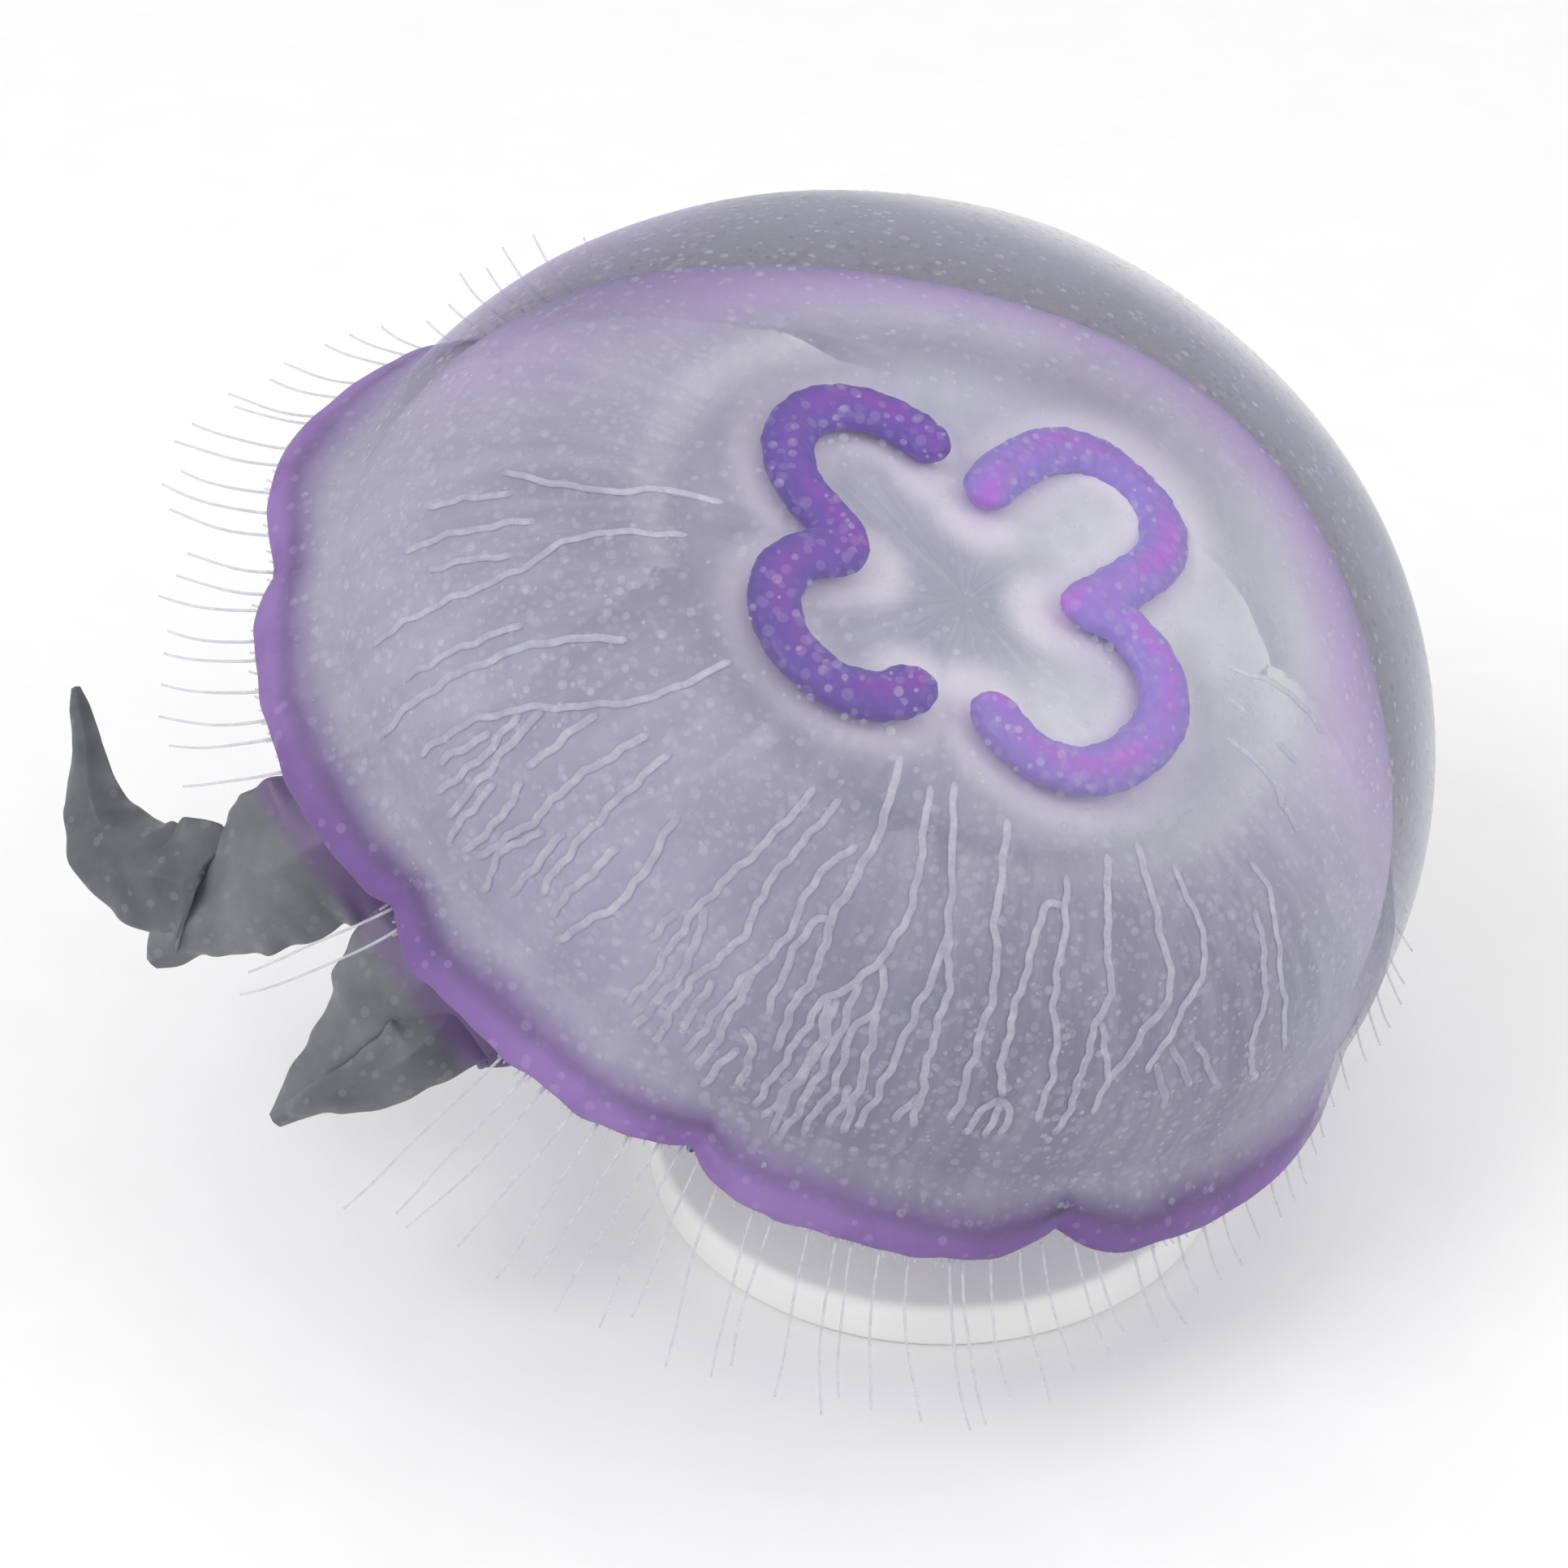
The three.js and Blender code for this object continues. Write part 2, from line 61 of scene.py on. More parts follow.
# %% [markdown]
# ## The shape that the frame is built on
# A jellyfish is a body of revolution that has been squeezed a little, so nearly all of it can be
# written with two numbers: how far down the bell a point is, and where it is round the axis.
# The same few dimensions drive the CAD solids. Repeating them here, in a frame of the bell's own,
# lets every skin, canal and hair be a formula that lands on its solid without any fitting.

# %% Driving dimensions
LOBES = 8
BELL_RADIUS = 125 * MM
BELL_HEIGHT = 116.5 * MM
DOME_POWER = 2.15
HOLLOW_RADIUS = 120.4 * MM
HOLLOW_HEIGHT = 63.5 * MM
HOLLOW_POWER = 3
SHOULDER, SHOULDER_TOWARDS, SHOULDER_SPREAD = 0.12, math.radians(76), math.radians(40)
SHOULDER_AT, SHOULDER_BAND = 0.44, 0.23
SKIRT_FROM = 0.94
SKIRT_FLARE = 0.07
FLARE_CHANGES = [  # slacker or fuller places of the margin: share, degree, spread
    (-0.45, 6, 14), (0.25, 192, 9), (0.15, 228, 10),
]
NOTCH_DEPTH = 0.063
NOTCH_SHARES = np.array([0.3, 1, 1, 1, 0.5, 0.6, 1, 1])      # of that depth, for each notch in turn
EDGE_THICKNESS = 2 * MM
OVAL, OVAL_TOWARDS = 0.041, math.radians(36)
THREE_SIDED, THREE_SIDED_TOWARDS = 0.013, math.radians(-51)
FIRST_NOTCH = 16.2
CROWDING, CROWDING_FROM = 13, 77
STOMACH_DEPTH = 10.8 * MM
STOMACH_WALL = 2.5 * MM

# Pose of the bell over its stand, in degrees and metres.
TILT, HEADING, SPIN = 28.5, -29, 6
MARGIN_HEIGHT = 108 * MM
PAD_DROP = 16.6 * MM          # from the roof of the hollow down to the underside of the stand's pad

print("bell radius and height in mm:", BELL_RADIUS / MM, BELL_HEIGHT / MM, "tilted by", TILT, "degrees")

# %% From the bell's frame to the room
lean = (Matrix.Rotation(math.radians(HEADING), 4, "Z") @ Matrix.Rotation(math.radians(TILT), 4, "Y")
        @ Matrix.Rotation(math.radians(SPIN), 4, "Z"))
pad_under = lean @ Vector((0, 0, HOLLOW_HEIGHT - PAD_DROP))
margin_centre = Vector((-pad_under.x, -pad_under.y, MARGIN_HEIGHT))
lean_rows = np.array(lean.to_3x3())


def to_room(points):
    """Bell-frame points, as rows, to places in the room."""
    return points @ lean_rows.T + np.array(margin_centre)


print("centre of the margin:", [round(x, 4) for x in margin_centre])

# %% Round the axis
def smoothstep(x, low, high):
    x = np.clip((x - low) / (high - low), 0, 1)
    return x * x * (3 - 2 * x)


def round_axis(place):
    """Angle round the axis of a place counted in lobes; each whole number is a notch."""
    even = FIRST_NOTCH + 360 / LOBES * place
    return np.radians(even + CROWDING * np.sin(np.radians(even - CROWDING_FROM)))


LOBE_START, LOBE_END = 0.24, 0.36    # share of a lobe over which it swells, and over which it tapers


def lobe_ends(place):
    """How near a place is to the blunt start and to the long taper of its lobe, each 0 to 1."""
    across = place - np.floor(place)
    return np.clip(1 - across / LOBE_START, 0, 1), np.clip(1 - (1 - across) / LOBE_END, 0, 1)


def notch_at(place):
    """How deep the margin is notched at a place: 0 along the middle of a lobe, most in its notches."""
    start, end = lobe_ends(place)
    lobe = np.floor(place).astype(int)
    return NOTCH_SHARES[lobe % LOBES] * start ** 2.2 + NOTCH_SHARES[(lobe + 1) % LOBES] * end ** 2.2


def out_of_round(turn):
    return (OVAL * np.cos(2 * (turn - OVAL_TOWARDS))
            + THREE_SIDED * np.cos(3 * (turn - THREE_SIDED_TOWARDS)))


def bumps(chosen, turn):
    """The sum of soft bumps round the axis, each with its height, degree and spread in degrees."""
    total = 0
    for height, at, spread in chosen:
        away = np.degrees(np.angle(np.exp(1j * (turn - math.radians(at)))))
        total = total + height * np.exp(-((away / spread) ** 2))
    return total


def waves(chosen, phase, t=0):
    """The sum of waves, each with its height, how often it turns round and down, and its shift."""
    return sum(height * np.sin(turns * phase + falls * t + shift) for height, turns, falls, shift in chosen)


print("notches at degrees:", [round(float(np.degrees(round_axis(i)))) for i in range(LOBES)])


# %% The dome
def dome(t, place, radius, height, power):
    """Points of a dome; t runs from 0 at the pole to 1 at the margin."""
    t, place = np.broadcast_arrays(np.asarray(t, float), np.asarray(place, float))
    turn = round_axis(place)
    down = t * np.pi / 2
    skirt = smoothstep(t, SKIRT_FROM, 1)
    flare = 1 + SKIRT_FLARE * skirt * (1 + bumps(FLARE_CHANGES, turn))
    flare = flare - NOTCH_DEPTH * skirt * notch_at(place)
    out = radius(skirt) * np.sin(down) ** (2 / power) * flare * (1 + t * out_of_round(turn))
    up = height * np.maximum(np.cos(down), 0) ** (2 / power)
    return np.stack([out * np.cos(turn), out * np.sin(turn), up], axis=-1)


def outer_skin(t, place):
    return dome(t, place, lambda skirt: BELL_RADIUS, BELL_HEIGHT, DOME_POWER)


def hollow_skin(t, place):
    """The under-bell. Its shoulder stands out towards one side, where the gel over it is thinner."""
    edge = BELL_RADIUS - EDGE_THICKNESS
    points = dome(t, place, lambda skirt: HOLLOW_RADIUS + (edge - HOLLOW_RADIUS) * skirt, HOLLOW_HEIGHT,
                  HOLLOW_POWER)
    away = np.angle(np.exp(1j * (round_axis(np.asarray(place, float)) - SHOULDER_TOWARDS)))
    near = (away / SHOULDER_SPREAD) ** 2 + ((t - SHOULDER_AT) / SHOULDER_BAND) ** 2
    shoulder = SHOULDER * np.exp(-near)
    return points * (1 + shoulder)[..., None]


def roof_height(out):
    """Height of the roof of the hollow at a distance from the axis."""
    share = np.minimum(np.asarray(out) / HOLLOW_RADIUS, 1)
    return HOLLOW_HEIGHT * (1 - share ** HOLLOW_POWER) ** (1 / HOLLOW_POWER)


print("crown at", round(float(outer_skin(0, 0)[2]) / MM, 1), "mm above the margin")

# %% [markdown]
# ## Making a mesh from a formula
# Most pieces here are grids of points: rings round an axis, or stations along a line. Writing the
# points as arrays and the faces by rule is quicker and cleaner than pushing vertices about by hand.
# Each piece also carries a few marks on its points, such as how far down the bell they lie. The
# finishes read those marks, so that colour follows the anatomy and not the camera.

# %% Grids of faces
def grid_faces(rows, columns, ring=True, first=0):
    """Quads over rows of points; ring joins the end of each row to its start."""
    faces = []
    span = columns if ring else columns - 1
    for r in range(rows - 1):
        here, there = first + r * columns, first + (r + 1) * columns
        for i in range(span):
            j = (i + 1) % columns
            faces.append((here + i, here + j, there + j, there + i))
    return faces


def fan_faces(pole, row_start, columns, flip=False):
    """Triangles from a pole to a ring of points."""
    ring = [(pole, row_start + i, row_start + (i + 1) % columns) for i in range(columns)]
    return [face[::-1] for face in ring] if flip else ring


print("a ring grid of 3 rows by 4:", len(grid_faces(3, 4)), "faces")


# %% Pieces and marks
def make_piece(name, points, faces, finishes, marks=None, finish_of_face=None):
    """A smooth mesh object at the origin. Marks are named arrays with one value for each point."""
    mesh = bpy.data.meshes.new(name)
    mesh.from_pydata(np.asarray(points).tolist(), [], faces)
    for mark, values in (marks or {}).items():
        store_mark(mesh, mark, values)
    for finish in finishes:
        mesh.materials.append(finish)
    if finish_of_face is not None:
        mesh.polygons.foreach_set("material_index", finish_of_face)
    outward = bmesh.new()
    outward.from_mesh(mesh)
    bmesh.ops.recalc_face_normals(outward, faces=outward.faces)
    outward.to_mesh(mesh)
    outward.free()
    mesh.polygons.foreach_set("use_smooth", [True] * len(mesh.polygons))
    mesh.update()
    piece = bpy.data.objects.new(name, mesh)
    bpy.context.scene.collection.objects.link(piece)
    print(f"{name}: {len(mesh.vertices)} points, {len(mesh.polygons)} faces")
    return piece


def store_mark(mesh, mark, values):
    values = np.asarray(values, dtype=np.float32)
    if values.ndim == 1:
        mesh.attributes.new(mark, "FLOAT", "POINT").data.foreach_set("value", values)
    else:
        mesh.attributes.new(mark, "FLOAT_VECTOR", "POINT").data.foreach_set("vector", values.ravel())


def dress(piece, slot, *nodes):
    """Says what the piece rides on and which solids it stands for; its slot is not used."""
    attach(piece, "root")
    if nodes:
        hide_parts(*nodes)

# %% [markdown]
# ## Tubes
# Canals, hairs and horseshoes are all tubes along a line. A tube is a ring of points carried along
# the line, with a point at each end so that it is closed. Many tubes go into one mesh, because
# hundreds of tiny objects would only slow the scene and the export.

# %% A bundle of tubes in one mesh
def unit(v):
    return v / np.maximum(np.linalg.norm(v, axis=-1, keepdims=True), 1e-12)


class Bundle:
    """Closed shapes gathered into one mesh, with their marks."""

    def __init__(self):
        self.points, self.faces, self.marks, self.count = [], [], {}, 0

    def add(self, points, faces, **marks):
        self.points.append(points)
        self.faces += [tuple(self.count + i for i in face) for face in faces]
        for mark, values in marks.items():
            self.marks.setdefault(mark, []).append(np.broadcast_to(values, len(points)))
        self.count += len(points)

    def tube(self, line, side, half_width, half_height, sides=8, **marks):
        """A tube along a line; side says which way its width lies."""
        along = unit(np.gradient(line, axis=0))
        across = unit(side - along * np.sum(side * along, axis=1, keepdims=True))
        up = np.cross(along, across)
        turn = 2 * np.pi * (np.arange(sides) + 0.5) / sides
        half_width = np.broadcast_to(half_width, len(line))[:, None, None]
        half_height = np.broadcast_to(half_height, len(line))[:, None, None]
        rings = (line[:, None] + across[:, None] * half_width * np.cos(turn)[None, :, None]
                 + up[:, None] * half_height * np.sin(turn)[None, :, None])
        nose = line[0] - along[0] * half_height[0, 0] * 0.6
        tail = line[-1] + along[-1] * half_height[-1, 0] * 0.6
        points = np.concatenate([[nose], rings.reshape(-1, 3), [tail]])
        faces = grid_faces(len(line), sides, first=1)
        faces += fan_faces(0, 1, sides, flip=True)
        faces += fan_faces(len(points) - 1, 1 + (len(line) - 1) * sides, sides)
        rows = {m: np.concatenate([[v[0]], np.repeat(v, sides), [v[-1]]]) for m, v in marks.items()}
        self.add(points, faces, **rows)

    def piece(self, name, finishes, place_in_room=True):
        points = np.concatenate(self.points)
        marks = {mark: np.concatenate(parts) for mark, parts in self.marks.items()}
        marks["bell_place"] = points
        return make_piece(name, to_room(points) if place_in_room else points, self.faces, finishes, marks)


trial = Bundle()
trial.tube(np.array([[0, 0, 0], [0, 0, 1], [0, 0, 2]]), np.array([1, 0, 0]), 0.1, 0.1)
print("a tube through 3 points:", trial.count, "points,", len(trial.faces), "faces")

# %% [markdown]
# ## Building finishes from nodes
# A finish is a Principled shader with patterns wired into it. The small helpers below add a node,
# wire it and hand back its output, so that a finish can be read from top to bottom like a recipe.
# Values that are the same all over the surface are set on the shader itself.

# %% Helpers for nodes
def add_node(tree, kind, inputs=None, output=0, **settings):
    """Adds a node, sets or wires its inputs, and returns one of its outputs."""
    node = tree.nodes.new(kind)
    for setting, value in settings.items():
        setattr(node, setting, value)
    for socket, value in (inputs or {}).items():
        if isinstance(value, bpy.types.NodeSocket):
            tree.links.new(value, node.inputs[socket])
        else:
            node.inputs[socket].default_value = value
    return node.outputs[output]


def maths(tree, operation, a, b=0.0, clamp=False):
    return add_node(tree, "ShaderNodeMath", {0: a, 1: b}, operation=operation, use_clamp=clamp)


def times(tree, a, b):
    return maths(tree, "MULTIPLY", a, b)


def fade(tree, value, low, high, start=0.0, end=1.0):
    """A value eased from start to end while the input goes from low to high."""
    return add_node(tree, "ShaderNodeMapRange",
                    {"Value": value, "From Min": low, "From Max": high, "To Min": start, "To Max": end},
                    interpolation_type="SMOOTHSTEP")


def mix_colour(tree, share, first, second):
    return add_node(tree, "ShaderNodeMix", {0: share, 6: first, 7: second}, output=2, data_type="RGBA")


def lay_over(tree, under, mask, share, over):
    """Lays a colour over another where a mask says, at a share of its strength."""
    return mix_colour(tree, times(tree, mask, share), under, over)


def bump_from(tree, height, strength, distance):
    return add_node(tree, "ShaderNodeBump",
                    {"Height": height, "Strength": strength, "Distance": distance}, output="Normal")


def fine_bump(tree, place, scale, detail, strength, distance):
    """A fine relief made from noise."""
    grain = add_node(tree, "ShaderNodeTexNoise", {"Vector": place, "Scale": scale, "Detail": detail})
    return bump_from(tree, grain, strength, distance)


# %% Helpers for finishes and groups
def mark(tree, name, vector=False):
    """Reads a mark that the mesh carries."""
    return add_node(tree, "ShaderNodeAttribute", output="Vector" if vector else "Fac", attribute_name=name)


def colour(red, green, blue):
    """A colour as screens write it, 0 to 255, turned into light."""
    def light(c):
        c /= 255
        return c / 12.92 if c <= 0.04045 else ((c + 0.055) / 1.055) ** 2.4
    return (light(red), light(green), light(blue), 1)


def new_finish(name, **constants):
    """A material with a Principled shader; constants name its sockets, with _ for a space."""
    finish = bpy.data.materials.new(name)
    finish.use_nodes = True
    tree = finish.node_tree
    shader = tree.nodes["Principled BSDF"]
    for socket, value in constants.items():
        shader.inputs[socket.replace("_", " ")].default_value = value
    print("finish:", name)
    return finish, tree, shader


def wire(tree, shader, **patterns):
    for socket, output in patterns.items():
        tree.links.new(output, shader.inputs[socket.replace("_", " ")])


def new_group(name, inputs, outputs):
    """An empty node group with named sockets: inputs are (name, kind, default)."""
    group = bpy.data.node_groups.new(name, "ShaderNodeTree")
    for socket, kind, default in inputs:
        made = group.interface.new_socket(socket, in_out="INPUT", socket_type=kind)
        if default is not None:
            made.default_value = default
    for socket, kind in outputs:
        group.interface.new_socket(socket, in_out="OUTPUT", socket_type=kind)
    into = group.nodes.new("NodeGroupInput").outputs
    out_of = group.nodes.new("NodeGroupOutput").inputs
    print("group of nodes:", name)
    return group, into, out_of


def place_group(tree, group, output=0, **inputs):
    """Places a group in a tree with its own values; names use _ for a space."""
    node = tree.nodes.new("ShaderNodeGroup")
    node.node_tree = group
    for socket, value in inputs.items():
        socket = node.inputs[socket.replace("_", " ")]
        if isinstance(value, bpy.types.NodeSocket):
            tree.links.new(value, socket)
        else:
            socket.default_value = value
    return node.outputs[output]


NUMBER, VECTOR = "NodeSocketFloat", "NodeSocketVector"

# %% [markdown]
# ## Patterns that several finishes share
# Five effects turn up again and again on this animal, so each is one group of nodes.
# *Round speckles* are the stinging warts and granules that dot the whole bell.
# *Clouds* are the milky patches in the gel, at whatever size a piece needs.
# *Rays* are streaks that run out from the axis, where muscle and gel are laid down along the radii.
# *Pool* is a soft ball of colour round one place in the bell, for markings that sit in one region.
# *One side* eases from one side of the bell to the other, for what the low and high sides differ in.

# %% Group: round speckles
speckles, into, out_of = new_group(
    "round speckles",
    [("Vector", VECTOR, None), ("Density", NUMBER, 300.0), ("Size", NUMBER, 0.3)],
    [("Mask", NUMBER)])
cells = add_node(speckles, "ShaderNodeTexVoronoi", {"Vector": into["Vector"], "Scale": into["Density"]},
                 output="Distance")
cell_tint = add_node(speckles, "ShaderNodeTexVoronoi",
                     {"Vector": into["Vector"], "Scale": into["Density"]}, output="Color")
lucky = add_node(speckles, "ShaderNodeSeparateColor", {"Color": cell_tint})
reach = times(speckles, fade(speckles, lucky, 0.15, 0.7), into["Size"])
edge = maths(speckles, "SUBTRACT", reach, cells)
speckles.links.new(fade(speckles, edge, 0.0, 0.035), out_of["Mask"])


def speckled(tree, place, density, size):
    return place_group(tree, speckles, Vector=place, Density=density, Size=size)


# %% Group: clouds
clouds, into, out_of = new_group(
    "clouds",
    [("Vector", VECTOR, None), ("Scale", NUMBER, 30.0), ("Low", NUMBER, 0.4), ("High", NUMBER, 0.65)],
    [("Mask", NUMBER)])
billow = add_node(clouds, "ShaderNodeTexNoise",
                  {"Vector": into["Vector"], "Scale": into["Scale"], "Detail": 5.0, "Roughness": 0.6})
clouds.links.new(fade(clouds, billow, into["Low"], into["High"]), out_of["Mask"])


def cloudy(tree, place, scale, low, high):
    return place_group(tree, clouds, Vector=place, Scale=scale, Low=low, High=high)


# %% Group: rays
rays, into, out_of = new_group(
    "rays",
    [("Vector", VECTOR, None), ("Fineness", NUMBER, 14.0), ("Stretch", NUMBER, 12.0)],
    [("Mask", NUMBER)])
flat = add_node(rays, "ShaderNodeVectorMath", {0: into["Vector"], 1: (1.0, 1.0, 0.0)},
                operation="MULTIPLY")
heading = add_node(rays, "ShaderNodeVectorMath", {0: flat}, operation="NORMALIZE")
distance = add_node(rays, "ShaderNodeVectorMath", {0: flat}, output="Value", operation="LENGTH")
run = times(rays, distance, into["Stretch"])
spread = add_node(rays, "ShaderNodeVectorMath", {0: heading, "Scale": into["Fineness"]},
                  operation="SCALE")
lift = add_node(rays, "ShaderNodeCombineXYZ", {"Z": run})
ray_place = add_node(rays, "ShaderNodeVectorMath", {0: spread, 1: lift}, operation="ADD")
streak = add_node(rays, "ShaderNodeTexNoise", {"Vector": ray_place, "Scale": 1.0, "Detail": 4.0,
                                               "Roughness": 0.65})
rays.links.new(fade(rays, streak, 0.38, 0.68), out_of["Mask"])

# %% Group: pool
pool, into, out_of = new_group(
    "pool",
    [("Vector", VECTOR, None), ("Centre", VECTOR, (0.0, 0.0, 0.0)), ("Radius", NUMBER, 0.04)],
    [("Mask", NUMBER)])
away = add_node(pool, "ShaderNodeVectorMath", {0: into["Vector"], 1: into["Centre"]}, output="Value",
                operation="DISTANCE")
share = maths(pool, "DIVIDE", away, into["Radius"])
pool.links.new(fade(pool, share, 1.0, 0.0), out_of["Mask"])


def pooled(tree, place, centre, reach):
    return place_group(tree, pool, Vector=place, Centre=centre, Radius=reach)


# %% Group: one side
one_side, into, out_of = new_group(
    "one side",
    [("Vector", VECTOR, None), ("Towards", VECTOR, (1.0, 0.0, 0.0)), ("From", NUMBER, 0.0),
     ("To", NUMBER, 0.05)],
    [("Mask", NUMBER)])
leaning = add_node(one_side, "ShaderNodeVectorMath", {0: into["Vector"], 1: into["Towards"]},
                   output="Value", operation="DOT_PRODUCT")
one_side.links.new(fade(one_side, leaning, into["From"], into["To"]), out_of["Mask"])


def on_side(tree, place, towards, low, high):
    return place_group(tree, one_side, Vector=place, Towards=towards, From=low, To=high)


# %% Pools of colour
def in_bell(turn, out, up):
    """A place in the bell: degrees round the axis, and metres out and up."""
    return (out * math.cos(math.radians(turn)), out * math.sin(math.radians(turn)), up)


def lay_pools(tree, place, under, pools):
    """Lays pools of colour over one another, each with its centre, reach, strength and colour."""
    for centre, reach, strength, over in pools:
        spread = pooled(tree, place, centre, reach)
        under = lay_over(tree, under, spread, strength, over)
    return under


print("pattern groups:", [g.name for g in bpy.data.node_groups])

# %% [markdown]
# ## The milky tones of the tissue
# The thin tissue under the gel is milky, and it isn't the same all over: greyer on the low side,
# greenish white near the stomach, paler towards the high side. One colour ramp can't say that, so
# a few soft pools of colour are laid over one another. The under-bell and the stomach floor both
# use this group, and the eye can't find where one ends and the other begins.

# %% Group: milky tones
MILK = colour(192, 189, 207)
TONES = [  # where each pool of colour lies, how far it reaches, how strong it is, and its colour
    (in_bell(303, 98 * MM, 30 * MM), 92 * MM, 0.95, colour(134, 133, 149)),
    (in_bell(259, 104 * MM, 22 * MM), 50 * MM, 0.6, colour(204, 198, 230)),
    (in_bell(216, 82 * MM, 56 * MM), 50 * MM, 0.8, colour(148, 146, 164)),
    (in_bell(125, 70 * MM, 55 * MM), 60 * MM, 0.6, colour(216, 216, 228)),
    (in_bell(40, 66 * MM, 58 * MM), 64 * MM, 0.95, colour(228, 233, 231)),
    (in_bell(340, 105 * MM, 40 * MM), 60 * MM, 0.8, colour(134, 133, 150)),
    (in_bell(335, 42 * MM, 60 * MM), 44 * MM, 0.95, colour(246, 249, 248)),
    (in_bell(62, 42 * MM, 60 * MM), 42 * MM, 0.8, colour(240, 243, 242)),
    (in_bell(205, 22 * MM, 58 * MM), 40 * MM, 0.75, colour(168, 167, 188)),
    (in_bell(349, 3 * MM, 54 * MM), 30 * MM, 0.75, colour(162, 168, 179)),
]
milky_tones, into, out_of = new_group("milky tones", [("Vector", VECTOR, None)],
                                      [("Tone", "NodeSocketColor")])
patches = cloudy(milky_tones, into["Vector"], 24.0, 0.36, 0.68)
tone = lay_over(milky_tones, MILK, patches, 0.55, colour(162, 158, 181))
tone = lay_pools(milky_tones, into["Vector"], tone, TONES)
streaks = place_group(milky_tones, rays, Vector=into["Vector"], Fineness=13.0, Stretch=38.0)
tone = lay_over(milky_tones, tone, streaks, 0.26, colour(222, 220, 234))
mottle = cloudy(milky_tones, into["Vector"], 70.0, 0.42, 0.7)
tone = lay_over(milky_tones, tone, mottle, 0.18, colour(150, 146, 172))
milky_tones.links.new(tone, out_of["Tone"])

# %% [markdown]
# ## Finish: the clear gel of the dome
# The upper bell is a thick clear jelly. Glass would be the obvious choice, but it bends light and
# loses its depth once the model leaves this scene. Instead the skin is part see-through: thin and
# clear over the crown, denser down the sides, so that the rim shows as a grey-blue band where only
# gel lies behind it. Below, it turns into the purple hem that carries the tentacles.

# %% The purple hem, shared by the gel and the under-bell
hem, into, out_of = new_group("hem", [("Vector", VECTOR, None), ("Down", NUMBER, 0.0)],
                              [("Mask", NUMBER)])
wobble = add_node(hem, "ShaderNodeTexNoise", {"Vector": into["Vector"], "Scale": 45.0, "Detail": 3.0})
shifted = maths(hem, "ADD", into["Down"], times(hem, wobble, 0.02))
paling = pooled(hem, into["Vector"], in_bell(10, 125 * MM, 10 * MM), 75 * MM)
purple = times(hem, fade(hem, shifted, 0.967, 0.995), fade(hem, paling, 0.0, 1.0, 1.0, 0.25))
hem.links.new(purple, out_of["Mask"])

HEM_PURPLE = colour(146, 118, 176)
HEM_DEEP = colour(116, 90, 145)


def hem_colour(tree, place):
    """The hem is a little darker here and there."""
    patches = cloudy(tree, place, 60.0, 0.4, 0.7)
    tint = lay_over(tree, HEM_PURPLE, patches, 0.6, HEM_DEEP)
    for turn, reach in ((241, 62 * MM), (320, 88 * MM)):
        dusk = pooled(tree, place, in_bell(turn, 125 * MM, 0), reach)
        tint = lay_over(tree, tint, dusk, 0.95, HEM_DEEP)
    return tint


# %% Gel
GEL_TINTS = [  # greener towards the right, duller along the high side, lilac at the upper left
    (in_bell(18, 106 * MM, 58 * MM), 95 * MM, 0.9, colour(202, 209, 213)),
    (in_bell(97, 104 * MM, 58 * MM), 46 * MM, 0.5, colour(146, 149, 164)),
    (in_bell(172, 118 * MM, 32 * MM), 68 * MM, 0.95, colour(168, 148, 200)),
]
gel, tree, shader = new_finish("clear_gel", IOR=1.36, Coat_Roughness=0.2, Specular_IOR_Level=0.1)
place = mark(tree, "bell_place", vector=True)
down = mark(tree, "down")
haze = cloudy(tree, place, 18.0, 0.35, 0.7)
dots = speckled(tree, place, 260.0, 0.3)
grains = speckled(tree, place, 430.0, 0.32)
far_side = on_side(tree, place, in_bell(98, 1, 0), -20 * MM, 60 * MM)
near_tone = mix_colour(tree, haze, colour(114, 110, 136), colour(120, 118, 142))
# The far side is greyer gel, and its tone is also painted lighter, to make up for the shade inside the
# thick gel there.
far_tone_painted_light = mix_colour(tree, haze, colour(160, 163, 178), colour(170, 174, 188))
body = mix_colour(tree, far_side, near_tone, far_tone_painted_light)
body = lay_pools(tree, place, body, GEL_TINTS)
body = lay_over(tree, body, dots, 0.26, colour(206, 208, 220))
body = lay_over(tree, body, grains, 0.18, colour(212, 213, 226))
is_hem = place_group(tree, hem, Vector=place, Down=down)
hemmed = mix_colour(tree, is_hem, body, hem_colour(tree, place))
hemmed = lay_over(tree, hemmed, dots, 0.14, colour(196, 176, 216))
thick = times(tree, far_side, fade(tree, down, 0.44, 0.66, 0.0, 0.52))
density = maths(tree, "ADD", fade(tree, down, 0.2, 0.7, 0.12, 0.3), thick)
density = maths(tree, "ADD", density, times(tree, dots, 0.05))
solid_hem = maths(tree, "MAXIMUM", density, times(tree, is_hem, 0.92), clamp=True)
bump = fine_bump(tree, place, 160.0, 3.0, 0.2, 0.2 * MM)
wire(tree, shader, Base_Color=hemmed, Alpha=solid_hem, Normal=bump,
     Roughness=fade(tree, is_hem, 0.0, 1.0, 0.25, 0.5),
     Coat_Weight=fade(tree, is_hem, 0.0, 1.0, 0.07, 0.03))
